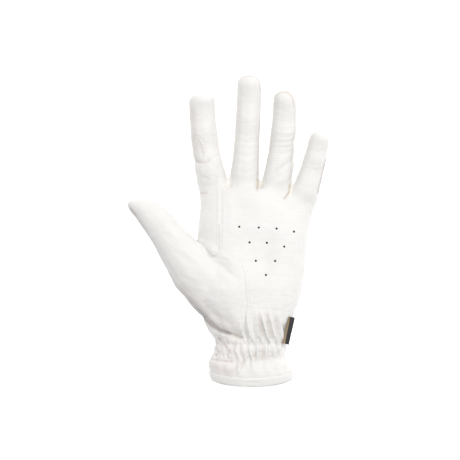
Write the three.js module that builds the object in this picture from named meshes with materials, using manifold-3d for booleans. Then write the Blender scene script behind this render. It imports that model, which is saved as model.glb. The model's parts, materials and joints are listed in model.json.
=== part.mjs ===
// A left-hand riding glove of thin synthetic leather, lying on its back with the palm up.
// Millimetres. X runs across the hand with the thumb on the minus side, Y runs from the hem
// to the fingertips, Z is up from the surface that the glove rests on.
import * as THREE from 'three';
import { mergeVertices } from 'three/addons/utils/BufferGeometryUtils.js';
import Module from 'manifold-3d';

const wasm = await Module();
wasm.setup();

// Walls and clearances
const LEATHER = 1.2;
const SEAM_GAP = 0.3;
const PATCH_THICKNESS = 0.9;
const HEM_THICKNESS = 0.6;

// Body of the glove
const HAND_REACH = 150;
const PALM_WIDTH = 87;
const WRIST_WIDTH = 54.8;
const CUFF_WIDTH = 62;
const HAND_DEPTH = 36;
const FLAT_SINK = 2.2;
const KNUCKLE_DROP = 10;
const HEM_HEIGHT = 6.2;
const HEM_ARC = 4.5;
const GATHER_RISE = 0.55;

// Thumb
const THUMB_LENGTH = 107.4;
const THUMB_WIDTH = 24;
const THUMB_DEPTH = 20;
const THUMB_SWING = THREE.MathUtils.degToRad(49);
const THUMB_BED = 3;

// Fingers
const FINGER_LENGTH = 82;
const FINGER_WIDTH = 21.6;
const FINGER_DEPTH = 19;
const FINGERTIP_LIFT = 3;
const FOURCHETTE_WIDTH = 9;

// Details
const PERFORATION_WIDTH = 1.5;
const LABEL_LENGTH = 21;
const LABEL_WIDTH = 7.5;
const LABEL_THICKNESS = 1.2;
const LABEL_TILT = THREE.MathUtils.degToRad(50);
const LABEL_RISE = 8;
const LABEL_PLACE = 0.273;

// How square a section is, from 2 for an ellipse up, and how high up its widest place lies
const HAND_FULLNESS = 2.35;
const FINGER_FULLNESS = 2.3;
const THUMB_FULLNESS = 2.25;
const HAND_WIDEST = 0.42;
const FINGER_WIDEST = 0.46;
const FINGER_FLATTENING = 0.3;
const FINGERTIP_DEPTH = 0.35;
const FINEST_POINT = 0.3;

const HALF_PALM = PALM_WIDTH / 2;
const HALF_WRIST = WRIST_WIDTH / 2;
const HALF_CUFF = CUFF_WIDTH / 2;
const FAR = 2 * HAND_REACH;

// Sections of the hand from the hem to the finger roots. along: share of the hand's reach;
// left and right: shares of the half width named in span; depth: share of the hand's depth;
// gather: share of the gathers' rise.
const HAND_SECTIONS = [
  { along: 0.0, span: HALF_CUFF, left: 0.98, right: 0.95, depth: 0.98, gather: 0.0 },
  { along: 0.043, span: HALF_CUFF, left: 1.03, right: 1.0, depth: 1.0, gather: 0.3 },
  { along: 0.08, span: HALF_CUFF, left: 1.05, right: 0.96, depth: 1.01, gather: 0.9 },
  { along: 0.105, span: HALF_CUFF, left: 1.04, right: 0.87, depth: 0.98, gather: 1.0 },
  { along: 0.13, span: HALF_CUFF, left: 0.98, right: 0.83, depth: 0.93, gather: 0.7 },
  { along: 0.15, span: HALF_WRIST, left: 1.03, right: 0.93, depth: 0.95, gather: 1.0 },
  { along: 0.185, span: HALF_WRIST, left: 1.02, right: 0.95, depth: 0.96, gather: 1.0 },
  { along: 0.21, span: HALF_WRIST, left: 0.99, right: 0.94, depth: 0.92, gather: 0.7 },
  { along: 0.235, span: HALF_WRIST, left: 1.03, right: 0.96, depth: 0.96, gather: 1.0 },
  { along: 0.265, span: HALF_WRIST, left: 1.12, right: 0.98, depth: 0.99, gather: 1.0 },
  { along: 0.3, span: HALF_WRIST, left: 1.22, right: 1.01, depth: 1.0, gather: 0.9 },
  { along: 0.34, span: HALF_PALM, left: 0.84, right: 0.69, depth: 1.0, gather: 0.6 },
  { along: 0.43, span: HALF_PALM, left: 0.99, right: 0.81, depth: 0.98, gather: 0.0 },
  { along: 0.49, span: HALF_PALM, left: 1.08, right: 0.865, depth: 0.97, gather: 0.0 },
  { along: 0.61, span: HALF_PALM, left: 1.05, right: 0.92, depth: 0.91, gather: 0.0 },
  { along: 0.725, span: HALF_PALM, left: 0.925, right: 0.945, depth: 0.85, gather: 0.0 },
  { along: 0.79, span: HALF_PALM, left: 0.915, right: 0.965, depth: 0.81, gather: 0.0 },
  { along: 0.905, span: HALF_PALM, left: 0.88, right: 1.03, depth: 0.7, gather: 0.0 },
  { along: 0.955, span: HALF_PALM, left: 0.9, right: 1.075, depth: 0.63, gather: 0.0 },
  { along: 0.99, span: HALF_PALM, left: 0.885, right: 1.07, depth: 0.57, gather: 0.0 },
];

// Swells and hollows of the palm side. across and along place the middle, in shares of half
// the palm and of the hand's reach; reach and rise are shares of half the palm and of the depth.
const PALM_RELIEF = [
  { name: 'ball of the thumb', across: -0.58, along: 0.49, reach: 0.5, rise: 0.1 },
  { name: 'heel of the hand', across: 0.55, along: 0.42, reach: 0.45, rise: 0.05 },
  { name: 'hollow of the palm', across: 0.15, along: 0.66, reach: 0.42, rise: -0.07 },
  { name: 'pads under the fingers', across: 0.3, along: 0.86, reach: 0.35, rise: 0.03 },
];

// Folds of the palm side, each a groove between two points, with depth and reach in the same
// shares as the relief.
const PALM_FOLDS = [
  { name: 'fold over the wrist', from: [-0.96, 0.393], to: [-0.2, 0.255], depth: 0.07, reach: 0.09 },
  { name: 'crease of the thumb', from: [-0.73, 0.635], to: [-0.22, 0.525], depth: 0.035, reach: 0.1 },
  { name: 'crease of the heel', from: [0.0, 0.36], to: [0.72, 0.4], depth: 0.02, reach: 0.07 },
];

// Fingers. across and along place the root's middle, in shares of half the palm and of the
// hand's reach. length is a share of the finger length; width across the root, tip across the
// end, bow, the sideways bend at mid length, and round, the length of the rounded end, are
// shares of the finger width; lean is from the Y axis in degrees.
const FINGERS = [
  { name: 'index', across: -0.674, along: 1.01, length: 0.84, width: 1.0, tip: 0.875,
    bow: -0.1, round: 0.3, lean: -7.2 },
  { name: 'middle', across: -0.138, along: 1.01, length: 1.0, width: 0.97, tip: 0.815,
    bow: 0.03, round: 0.39, lean: 2.9 },
  { name: 'ring', across: 0.405, along: 0.98, length: 0.912, width: 1.0, tip: 0.79,
    bow: 0.075, round: 0.35, lean: 5.9 },
  { name: 'little', across: 0.88, along: 0.94, length: 0.623, width: 0.945, tip: 0.68,
    bow: 0.065, round: 0.28, lean: 15.2 },
].map((finger) => ({
  ...finger,
  length: finger.length * FINGER_LENGTH,
  width: finger.width * FINGER_WIDTH,
  tip: finger.tip * FINGER_WIDTH,
  bow: finger.bow * FINGER_WIDTH,
  round: finger.round * FINGER_WIDTH,
  lean: THREE.MathUtils.degToRad(finger.lean),
}));

// One finger from inside the palm to where its end starts to round. along: share of the
// length; full and deep: shares of the local width and of the depth.
const FINGER_SECTIONS = [
  { along: -0.16, full: 0.9, deep: 0.76 },
  { along: 0.0, full: 1.08, deep: 1.0 },
  { along: 0.09, full: 1.05, deep: 1.03 },
  { along: 0.2, full: 1.01, deep: 1.02 },
  { along: 0.4, full: 0.98, deep: 0.9 },
  { along: 0.58, full: 1.01, deep: 0.93 },
  { along: 0.72, full: 0.99, deep: 0.86 },
  { along: 0.82, full: 1.0, deep: 0.86 },
];
const ROUNDED_END = [0, 0.5, 0.82, 0.97];

// Thumb from its tip to its root in the ball of the thumb. along: share of its length; low and
// high: the edges across it, in shares of its width; bed and top: heights in shares of its depth.
const THUMB_SECTIONS = [
  { along: 0.0, low: -0.16, high: 0.0, bed: 0.44, top: 0.74 },
  { along: 0.012, low: -0.22, high: 0.09, bed: 0.33, top: 0.85 },
  { along: 0.035, low: -0.255, high: 0.22, bed: 0.25, top: 0.93 },
  { along: 0.07, low: -0.28, high: 0.4, bed: 0.2, top: 0.99 },
  { along: 0.12, low: -0.285, high: 0.56, bed: 0.17, top: 1.02 },
  { along: 0.24, low: -0.33, high: 0.65, bed: 0.12, top: 1.1 },
  { along: 0.333, low: -0.4, high: 0.64, bed: 0.1, top: 1.15 },
  { along: 0.52, low: -0.59, high: 0.7, bed: 0.04, top: 1.33 },
  { along: 0.667, low: -0.76, high: 0.83, bed: 0.0, top: 1.53 },
  { along: 0.76, low: -0.72, high: 0.95, bed: 0.0, top: 1.58 },
  { along: 0.85, low: -0.76, high: 1.04, bed: 0.0, top: 1.53 },
  { along: 0.93, low: -0.75, high: 1.04, bed: 0.05, top: 1.38 },
  { along: 1.0, low: -0.5, high: 0.9, bed: 0.15, top: 1.15 },
];
const THUMB_ROOT = { across: -0.4655, along: 0.3913 };

// Height of the side seams above the surface, in shares of the hand's depth.
const SIDE_SEAM = [
  { along: -0.1, height: 0.44 },
  { along: 0.25, height: 0.42 },
  { along: 0.6, height: 0.36 },
  { along: 1.0, height: 0.27 },
  { along: 1.25, height: 0.25 },
  { along: 1.7, height: 0.29 },
];

// Height of the thumb's outer seam, along in shares of its length, in shares of its depth.
const THUMB_SEAM = [
  { along: -0.2, height: 0.6 },
  { along: 0.3, height: 0.62 },
  { along: 0.6, height: 0.78 },
  { along: 0.8, height: 0.95 },
  { along: 1.2, height: 0.85 },
];

// Seam lines seen from above, as [across, along] in shares of half the palm and of the reach.
const THUMB_FRONT_LINE = [
  [-2.9, 1.08], [-2.9, 0.25], [-0.164, 0.25], [-0.129, 0.34], [-0.119, 0.415],
  [-0.138, 0.485], [-0.152, 0.56], [-0.198, 0.62], [-0.423, 0.6275], [-0.646, 0.64],
  [-0.922, 0.7125], [-1.112, 0.77], [-1.112, 1.08],
];
const THUMB_BACK_LINE = [
  [-2.9, 1.08], [-2.9, 0.515], [-1.703, 0.5155], [-0.922, 0.7125], [-1.112, 0.77],
  [-1.112, 1.08],
];
const WRIST_PANEL_LINE = [[-0.85, -0.1], [-0.285, -0.1], [-0.285, 0.238], [-0.85, 0.238]];
const REIN_PATCH_LINE = [
  [-1.112, 1.2475], [-0.991, 1.2485], [-0.905, 1.2375], [-0.845, 1.2175], [-0.814, 1.185],
  [-0.798, 1.14], [-0.733, 1.115], [-0.638, 1.1], [-0.578, 1.07], [-0.555, 1.005],
  [-0.543, 0.905], [-0.543, 0.73], [-0.555, 0.69], [-0.59, 0.6625], [-0.655, 0.6475],
  [-0.716, 0.6575], [-0.759, 0.6775], [-0.793, 0.7], [-0.871, 0.715], [-1.112, 0.75],
];

// Perforations of the palm, in four rows, as [across, along] in the same shares.
const PERFORATIONS = [
  [-0.195, 0.7925], [0.138, 0.7885], [0.445, 0.7835], [0.745, 0.7685],
  [-0.019, 0.715], [0.278, 0.713], [0.576, 0.694],
  [0.088, 0.6235], [0.419, 0.6225], [0.26, 0.5535],
];

// Points round a section, every how many of the hand's sections are used, and how much of the
// gathers shows, on the outside and on the inside of the wall.
const OUTER = { hand: 42, finger: 12, thumb: 14, stride: 1, ripple: 1 };
const INNER = { hand: 20, finger: 8, thumb: 10, stride: 2, ripple: 0 };

const LOOKS = {
  white: { color: 0xf4f3f2, roughness: 0.62, metalness: 0.0 },
  cream: { color: 0xe9dcc6, roughness: 0.7, metalness: 0.0 },
  blush: { color: 0xf1e7e5, roughness: 0.68, metalness: 0.0 },
  black: { color: 0x1c1b1a, roughness: 0.8, metalness: 0.0 },
};

const glove = new THREE.Group();

// A share between two values, eased at both ends.
function ease(value, from, to) {
  return THREE.MathUtils.smoothstep(value, from, to);
}

function acrossPalm(share) {
  return share * HALF_PALM;
}

function alongHand(share) {
  return share * HAND_REACH;
}

function seamPoint([across, along]) {
  return new THREE.Vector2(acrossPalm(across), alongHand(along));
}

// A signed power, which squares off the round of a section.
function squared(value, fullness) {
  return Math.sign(value) * Math.abs(value) ** (2 / fullness);
}

function distanceToSegment(point, start, end) {
  const line = end.clone().sub(start);
  const share = THREE.MathUtils.clamp(point.clone().sub(start).dot(line) / line.lengthSq(), 0, 1);
  return point.distanceTo(start.clone().addScaledVector(line, share));
}

// The palm side's swells and folds at a place seen from above.
function palmRelief(x, y) {
  const here = new THREE.Vector2(x, y);
  let height = 0;
  for (const swell of PALM_RELIEF) {
    const reach = swell.reach * HALF_PALM;
    const away = here.distanceTo(seamPoint([swell.across, swell.along])) / reach;
    height += swell.rise * HAND_DEPTH * Math.exp(-away * away);
  }
  for (const fold of PALM_FOLDS) {
    const away = distanceToSegment(here, seamPoint(fold.from), seamPoint(fold.to));
    const share = away / (fold.reach * HALF_PALM);
    height -= fold.depth * HAND_DEPTH * Math.exp(-share * share);
  }
  return height;
}

// A closed solid through rings of points, fanned shut at both ends.
function loft(rings) {
  const count = rings[0].length;
  const points = rings.flat();
  const triangles = [];
  for (let ring = 0; ring + 1 < rings.length; ring += 1) {
    for (let side = 0; side < count; side += 1) {
      const next = (side + 1) % count;
      const a = ring * count + side;
      const b = ring * count + next;
      triangles.push([a, b, b + count], [a, b + count, a + count]);
    }
  }
  for (const [ring, turned] of [[0, true], [rings.length - 1, false]]) {
    const middle = new THREE.Vector3();
    rings[ring].forEach((point) => middle.addScaledVector(point, 1 / count));
    points.push(middle);
    for (let side = 0; side < count; side += 1) {
      const a = ring * count + side;
      const b = ring * count + (side + 1) % count;
      triangles.push(turned ? [b, a, points.length - 1] : [a, b, points.length - 1]);
    }
  }
  return solidOf(points.flatMap((point) => point.toArray()), triangles.flat());
}

// A manifold solid from coordinates and triangles, turned to face outwards.
function solidOf(coordinates, triangles) {
  const corner = (index) => new THREE.Vector3().fromArray(coordinates, index * 3);
  let volume = 0;
  for (let start = 0; start < triangles.length; start += 3) {
    const [a, b, c] = [0, 1, 2].map((step) => corner(triangles[start + step]));
    volume += a.dot(b.cross(c));
  }
  const facing = volume > 0 ? triangles : [...triangles].reverse();
  const mesh = new wasm.Mesh({
    numProp: 3,
    vertProperties: new Float32Array(coordinates),
    triVerts: new Uint32Array(facing),
  });
  mesh.merge();
  return new wasm.Manifold(mesh);
}

function solidFromGeometry(geometry) {
  const bare = geometry.clone();
  bare.deleteAttribute('normal');
  bare.deleteAttribute('uv');
  const merged = mergeVertices(bare, 1e-4);
  return solidOf([...merged.attributes.position.array], [...merged.index.array]);
}

// An outline extruded along the third axis of the frame that the matrix gives.
function prism(outline, from, to, matrix = new THREE.Matrix4()) {
  const shape = new THREE.Shape(outline);
  const geometry = new THREE.ExtrudeGeometry(shape, { depth: to - from, bevelEnabled: false });
  geometry.translate(0, 0, from);
  geometry.applyMatrix4(matrix);
  return solidFromGeometry(geometry);
}

function union(solids) {
  return solids.reduce((whole, solid) => whole.add(solid));
}

function largestBody(solid) {
  return solid.decompose().reduce((best, body) => (body.volume() > best.volume() ? body : best));
}

// The outline moved outwards by a distance, with mitred corners. It runs anticlockwise.
function widened(outline, distance) {
  return outline.map((point, index) => {
    const before = outline.at(index - 1);
    const after = outline[(index + 1) % outline.length];
    const arrive = point.clone().sub(before).normalize();
    const leave = after.clone().sub(point).normalize();
    const outward = new THREE.Vector2(arrive.y + leave.y, -arrive.x - leave.x);
    const mitre = 2 * distance / outward.lengthSq();
    return point.clone().addScaledVector(outward, mitre);
  });
}

// Y as a section's point has it: the hem hangs in an arc, and the knuckles drop to one side.
function settledY(y, x, cosine) {
  const hem = HEM_ARC * cosine * cosine * (1 - ease(y, 0, 0.3 * HAND_REACH));
  const side = ease(x, 0.1 * HALF_PALM, 0.75 * HALF_PALM);
  const knuckle = KNUCKLE_DROP * side * ease(y, 0.68 * HAND_REACH, HAND_REACH);
  return y + hem - knuckle;
}

// One section of the hand, moved inwards by inset, or outwards where inset is negative.
function handRing(section, inset, detail) {
  const left = section.left * section.span;
  const right = section.right * section.span;
  const middle = (right - left) / 2;
  const half = (right + left) / 2 - inset;
  const top = section.depth * HAND_DEPTH;
  const widest = HAND_WIDEST * top;
  const floor = Math.max(inset, 0);
  const y = alongHand(section.along);
  return Array.from({ length: detail.hand }, (_, index) => {
    const angle = 2 * Math.PI * index / detail.hand;
    const sine = Math.sin(angle);
    const cosine = Math.cos(angle);
    const ripple = (index % 2 ? -1 : 1) * detail.ripple * section.gather * GATHER_RISE;
    const x = middle + (half + ripple) * squared(cosine, HAND_FULLNESS);
    const reach = sine > 0 ? top - widest - inset + ripple : widest + FLAT_SINK - inset;
    const swell = Math.max(sine, 0) ** 0.5 * palmRelief(x, y);
    const z = widest + reach * squared(sine, HAND_FULLNESS) + swell;
    return new THREE.Vector3(x, settledY(y, x, cosine), Math.max(z, floor));
  });
}

// One section between two of the hand's, for the hem's and the panels' edges.
function handSectionAt(along) {
  const next = HAND_SECTIONS.findIndex((section) => section.along > along);
  const [low, high] = [HAND_SECTIONS[next - 1], HAND_SECTIONS[next]];
  const share = (along - low.along) / (high.along - low.along);
  const mixed = (key) => THREE.MathUtils.lerp(low[key], high[key], share);
  return {
    along,
    span: mixed('span'),
    left: mixed('left'),
    right: mixed('right'),
    depth: mixed('depth'),
    gather: mixed('gather'),
  };
}

const HEM_TOP = HEM_HEIGHT / HAND_REACH;
const PANEL_START = (HEM_HEIGHT + SEAM_GAP) / HAND_REACH;

// The hand from a place along it to the finger roots.
function handSolid(start, inset, detail) {
  const first = { ...handSectionAt(Math.max(start, 0)), along: start };
  const rest = HAND_SECTIONS.filter((section) => section.along > Math.max(start, 0) + 0.01);
  const used = rest.filter((_, index) => (rest.length - 1 - index) % detail.stride === 0);
  const rings = [first, ...used].map((section) => handRing(section, inset, detail));
  const last = rings.at(-1);
  last.forEach((point) => {
    point.y -= inset;
  });
  return loft(rings);
}

// Where a finger's axis, width and depth stand at a share of its length.
function fingerAt(finger, share) {
  const { lean } = finger;
  const reach = share * finger.length;
  const bend = finger.bow * 4 * share * (1 - share) * (share > 0 ? 1 : 0);
  const straight = Math.max(share, 0);
  return {
    x: acrossPalm(finger.across) + reach * Math.sin(lean) + bend * Math.cos(lean),
    y: alongHand(finger.along) + reach * Math.cos(lean) - bend * Math.sin(lean),
    side: new THREE.Vector2(Math.cos(lean), -Math.sin(lean)),
    width: THREE.MathUtils.lerp(finger.width, finger.tip, straight),
    lift: FINGERTIP_LIFT * straight * straight,
  };
}

function fingerRing(place, full, depth, inset, detail) {
  const half = full * place.width / 2;
  const widest = FINGER_WIDEST * depth;
  const under = widest + FINGER_FLATTENING * FLAT_SINK;
  const floor = Math.max(inset, 0);
  return Array.from({ length: detail.finger }, (_, index) => {
    const angle = 2 * Math.PI * index / detail.finger;
    const sideways = half * squared(Math.cos(angle), FINGER_FULLNESS);
    const sine = Math.sin(angle);
    const reach = (sine > 0 ? depth - widest : under) - inset;
    const z = place.lift + widest + reach * squared(sine, FINGER_FULLNESS);
    const x = place.x + place.side.x * sideways;
    return new THREE.Vector3(x, place.y + place.side.y * sideways, Math.max(z, floor));
  });
}

function fingerSolid(finger, inset, detail) {
  const rings = FINGER_SECTIONS.map((section) => {
    const place = fingerAt(finger, section.along);
    const narrow = section.full - 2 * inset / place.width;
    return fingerRing(place, narrow, section.deep * FINGER_DEPTH, inset, detail);
  });
  const lastDeep = FINGER_SECTIONS.at(-1).deep * FINGER_DEPTH;
  for (const step of ROUNDED_END) {
    const end = finger.length - inset;
    const place = fingerAt(finger, (end - finger.round * (1 - step)) / finger.length);
    const shrink = (1 - step ** FINGER_FULLNESS) ** (1 / FINGER_FULLNESS);
    const narrow = shrink * (1 - 2 * inset / place.width);
    const deep = lastDeep * THREE.MathUtils.lerp(FINGERTIP_DEPTH, 1, shrink);
    const lifted = { ...place, lift: place.lift + (lastDeep - deep) / 2 };
    rings.push(fingerRing(lifted, narrow, deep, inset, detail));
  }
  return loft(rings);
}

const THUMB_FRAME = {
  down: new THREE.Vector2(Math.cos(THUMB_SWING), -Math.sin(THUMB_SWING)),
  across: new THREE.Vector2(Math.sin(THUMB_SWING), Math.cos(THUMB_SWING)),
};

function thumbPoint(reach, sideways) {
  const root = seamPoint([THUMB_ROOT.across, THUMB_ROOT.along]);
  return root
    .addScaledVector(THUMB_FRAME.down, reach - THUMB_LENGTH)
    .addScaledVector(THUMB_FRAME.across, sideways);
}

function thumbRing(section, inset, detail) {
  const low = section.low * THUMB_WIDTH;
  const high = section.high * THUMB_WIDTH;
  const bed = THUMB_BED + section.bed * THUMB_DEPTH;
  const top = THUMB_BED + section.top * THUMB_DEPTH;
  const half = Math.max((high - low) / 2 - inset, FINEST_POINT);
  const rise = Math.max((top - bed) / 2 - inset, FINEST_POINT);
  const reach = section.along * THUMB_LENGTH + inset * (1 - ease(section.along, 0, 0.3));
  return Array.from({ length: detail.thumb }, (_, index) => {
    const angle = 2 * Math.PI * index / detail.thumb;
    const sideways = (low + high) / 2 + half * squared(Math.cos(angle), THUMB_FULLNESS);
    const place = thumbPoint(reach, sideways);
    const z = (bed + top) / 2 + rise * squared(Math.sin(angle), THUMB_FULLNESS);
    return new THREE.Vector3(place.x, place.y, z);
  });
}

function thumbSolid(inset, detail) {
  return loft(THUMB_SECTIONS.map((section) => thumbRing(section, inset, detail)));
}

// The whole filled-out form of the glove above its hem, moved inwards by inset.
function gloveForm(start, inset, detail) {
  return union([
    handSolid(start, inset, detail),
    ...FINGERS.map((finger) => fingerSolid(finger, inset, detail)),
    thumbSolid(inset, detail),
  ]);
}

const FRAME_YZ = new THREE.Matrix4().makeBasis(
  new THREE.Vector3(0, 1, 0),
  new THREE.Vector3(0, 0, 1),
  new THREE.Vector3(1, 0, 0),
);

// All that lies above the side seams, lowered by a distance.
function aboveSideSeam(lowered) {
  const line = SIDE_SEAM.map(({ along, height }) =>
    new THREE.Vector2(alongHand(along), height * HAND_DEPTH - lowered));
  const sky = [new THREE.Vector2(line.at(-1).x, FAR), new THREE.Vector2(line[0].x, FAR)];
  return prism([...line, ...sky], -FAR, FAR, FRAME_YZ);
}

// All that lies above the thumb's outer seam, lowered by a distance.
function aboveThumbSeam(lowered) {
  const line = THUMB_SEAM.map(({ along, height }) =>
    new THREE.Vector2(along * THUMB_LENGTH, THUMB_BED + height * THUMB_DEPTH - lowered));
  const sky = [new THREE.Vector2(line.at(-1).x, FAR), new THREE.Vector2(line[0].x, FAR)];
  const { down } = THUMB_FRAME;
  const tip = thumbPoint(0, 0);
  const frame = new THREE.Matrix4().makeBasis(
    new THREE.Vector3(down.x, down.y, 0),
    new THREE.Vector3(0, 0, 1),
    new THREE.Vector3(down.y, -down.x, 0),
  ).setPosition(tip.x, tip.y, 0);
  return prism([...line, ...sky], -FAR, FAR, frame);
}

function seamPrism(line, grown) {
  return prism(widened(line.map(seamPoint), grown), -1, FAR);
}

// The strip between two fingers, on the facing sides of both and round the web.
function fourchetteZone(thumbSide, littleSide, grown) {
  const strip = (finger, toward) => {
    const start = -0.1 - grown / finger.length;
    const stop = 1 - (finger.round + 1 - grown) / finger.length;
    const rings = [start, 0.4, stop].map((share) => {
      const place = fingerAt(finger, share);
      const seam = fingerSeamHeight(place.y);
      const taper = 1 - 0.6 * ease(share, 0.2, 1);
      const half = FOURCHETTE_WIDTH / 2 * taper + grown;
      const reach = toward * (place.width / 2 + FOURCHETTE_WIDTH / 4);
      const corner = (sideways, z) => new THREE.Vector3(
        place.x + place.side.x * sideways,
        place.y + place.side.y * sideways,
        z,
      );
      return [
        corner(0, seam - half),
        corner(reach, seam - half),
        corner(reach, seam + half),
        corner(0, seam + half),
      ];
    });
    return loft(rings);
  };
  return union([strip(thumbSide, 1), strip(littleSide, -1)]);
}

function fingerSeamHeight(y) {
  const along = y / HAND_REACH;
  const next = SIDE_SEAM.findIndex((point) => point.along > along);
  const [low, high] = [SIDE_SEAM[next - 1], SIDE_SEAM[next]];
  const share = (along - low.along) / (high.along - low.along);
  return THREE.MathUtils.lerp(low.height, high.height, share) * HAND_DEPTH;
}

// One named sub-part from a solid.
function addPiece(name, solid, look) {
  const { vertProperties, triVerts } = solid.getMesh();
  const geometry = new THREE.BufferGeometry();
  geometry.setAttribute('position', new THREE.BufferAttribute(vertProperties, 3));
  geometry.setIndex(new THREE.BufferAttribute(triVerts, 1));
  geometry.computeVertexNormals();
  const piece = new THREE.Mesh(geometry, new THREE.MeshStandardMaterial(LOOKS[look]));
  piece.name = name;
  glove.add(piece);
}

// The leather panels, cut one after another out of the glove's wall along its seams.
function addPanels() {
  const hollow = gloveForm(-0.02, LEATHER, INNER);
  let wall = gloveForm(PANEL_START, 0, OUTER).subtract(hollow);
  const cutOut = (zone, grownZone) => {
    const piece = largestBody(wall.intersect(zone));
    wall = wall.subtract(grownZone);
    return piece;
  };
  for (let index = 0; index + 1 < FINGERS.length; index += 1) {
    const pair = [FINGERS[index], FINGERS[index + 1]];
    const piece = cutOut(fourchetteZone(...pair, 0), fourchetteZone(...pair, SEAM_GAP));
    addPiece(`fourchette_${pair[0].name}_${pair[1].name}`, piece, 'cream');
  }
  const thumbFront = cutOut(
    seamPrism(THUMB_FRONT_LINE, 0).intersect(aboveThumbSeam(0)),
    seamPrism(THUMB_FRONT_LINE, SEAM_GAP).intersect(aboveThumbSeam(SEAM_GAP)),
  );
  addPiece('thumb_front', thumbFront, 'white');
  const thumbBack = cutOut(seamPrism(THUMB_BACK_LINE, 0), seamPrism(THUMB_BACK_LINE, SEAM_GAP));
  addPiece('thumb_back', thumbBack, 'white');
  const wristPanel = cutOut(
    seamPrism(WRIST_PANEL_LINE, 0).intersect(aboveSideSeam(0)),
    seamPrism(WRIST_PANEL_LINE, SEAM_GAP).intersect(aboveSideSeam(SEAM_GAP)),
  );
  addPiece('wrist_side_panel', wristPanel, 'blush');
  const palm = cutOut(aboveSideSeam(0), aboveSideSeam(SEAM_GAP));
  addPiece('palm_panel', palm.subtract(perforations()), 'white');
  addPiece('back_panel', largestBody(wall), 'white');
}

function perforations() {
  const drill = new THREE.CylinderGeometry(
    PERFORATION_WIDTH / 2, PERFORATION_WIDTH / 2, 2 * HAND_DEPTH, 6,
  ).rotateX(Math.PI / 2);
  return union(PERFORATIONS.map((spot) => {
    const place = seamPoint(spot);
    return solidFromGeometry(drill.clone().translate(place.x, place.y, 1.4 * HAND_DEPTH));
  }));
}

// The strip of leather over the forefinger's root that the rein runs against.
function addReinPatch() {
  const skin = (inset) => union([
    handSolid(PANEL_START, inset, OUTER),
    fingerSolid(FINGERS[0], inset, OUTER),
    thumbSolid(inset, OUTER),
  ]);
  const layer = skin(-SEAM_GAP - PATCH_THICKNESS).subtract(skin(-SEAM_GAP));
  const zone = seamPrism(REIN_PATCH_LINE, 0).intersect(aboveSideSeam(-SEAM_GAP));
  addPiece('rein_patch', largestBody(layer.intersect(zone)), 'white');
}

// The turned hem, a closed band round the mouth.
function addHem() {
  const band = [0, HEM_TOP].map(handSectionAt);
  const outside = loft(band.map((section) => handRing(section, -HEM_THICKNESS, { ...OUTER, ripple: 0.6 })));
  const past = { ...handSectionAt(0), along: -0.02 };
  const beyond = { ...handSectionAt(HEM_TOP), along: HEM_TOP + 0.02 };
  const inside = loft([past, ...band, beyond].map((section) => handRing(section, LEATHER, INNER)));
  addPiece('cuff_hem', outside.subtract(inside), 'white');
}

// The small folded tag, sewn in by the side seam and laid up against the palm's side. It stands
// clear of the wall at every place along it and up it.
function addLabel() {
  const foot = fingerSeamHeight(alongHand(LABEL_PLACE)) + LABEL_RISE;
  const head = foot + LABEL_WIDTH * Math.sin(LABEL_TILT);
  const half = LABEL_LENGTH / 2;
  const wallAt = (offset, height) => {
    const section = handSectionAt(LABEL_PLACE + offset / HAND_REACH);
    const middle = (section.right - section.left) * section.span / 2;
    const reach = (section.right + section.left) * section.span / 2 + GATHER_RISE;
    const top = section.depth * HAND_DEPTH + GATHER_RISE;
    const widest = HAND_WIDEST * top;
    const share = Math.max(height - widest, 0) / (top - widest);
    return middle + reach * (1 - share ** HAND_FULLNESS) ** (1 / HAND_FULLNESS);
  };
  const lean = (wallAt(half, foot) - wallAt(-half, foot)) / LABEL_LENGTH;
  const clearances = [-1, -0.5, 0, 0.5, 1].flatMap((share) => {
    const offset = share * half;
    return [0, 0.25, 0.5, 0.75, 1].map((part) => {
      const height = THREE.MathUtils.lerp(foot, head, part);
      const drawnIn = (height - foot) / Math.tan(LABEL_TILT);
      return wallAt(offset, height) + drawnIn - lean * offset;
    });
  });
  const outline = new THREE.Shape();
  const round = LABEL_THICKNESS / 2;
  outline.moveTo(0, 0);
  outline.lineTo(LABEL_WIDTH - round, 0);
  outline.absarc(LABEL_WIDTH - round, round, round, -Math.PI / 2, Math.PI / 2);
  outline.lineTo(0, LABEL_THICKNESS);
  const tag = new THREE.ExtrudeGeometry(
    outline, { depth: LABEL_LENGTH, bevelEnabled: false, curveSegments: 3 },
  );
  tag.rotateX(Math.PI / 2);
  tag.translate(0, half, 0);
  tag.rotateY(LABEL_TILT - Math.PI);
  tag.rotateZ(-Math.atan(lean));
  const across = Math.max(...clearances) + LABEL_THICKNESS / Math.sin(LABEL_TILT) + SEAM_GAP;
  tag.translate(across, alongHand(LABEL_PLACE), foot);
  addPiece('side_label', solidFromGeometry(tag), 'black');
}

// Puts the origin under the middle of the whole glove, on the surface that it rests on.
function centreOnFloor() {
  const box = new THREE.Box3().setFromObject(glove);
  const middle = box.getCenter(new THREE.Vector3());
  glove.position.set(-middle.x, -middle.y, -box.min.z);
  glove.updateMatrixWorld(true);
}

addPanels();
addReinPatch();
addHem();
addLabel();
centreOnFloor();

export default glove;
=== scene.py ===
"""A white riding glove for the left hand, lying palm up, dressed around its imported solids.

Lengths are in metres. Places on the glove are given on its plan grid, whose cells are 0.75 mm
wide, with the column counted from the thumb's side and the row from beyond the fingertips.
"""

import json
import logging
import math
from collections.abc import Iterator
from contextlib import contextmanager
from dataclasses import dataclass, field
from enum import Enum

import bpy
import numpy as np
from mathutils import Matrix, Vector
from mathutils.bvhtree import BVHTree
from mathutils.kdtree import KDTree
from mathutils import noise as weather

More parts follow.
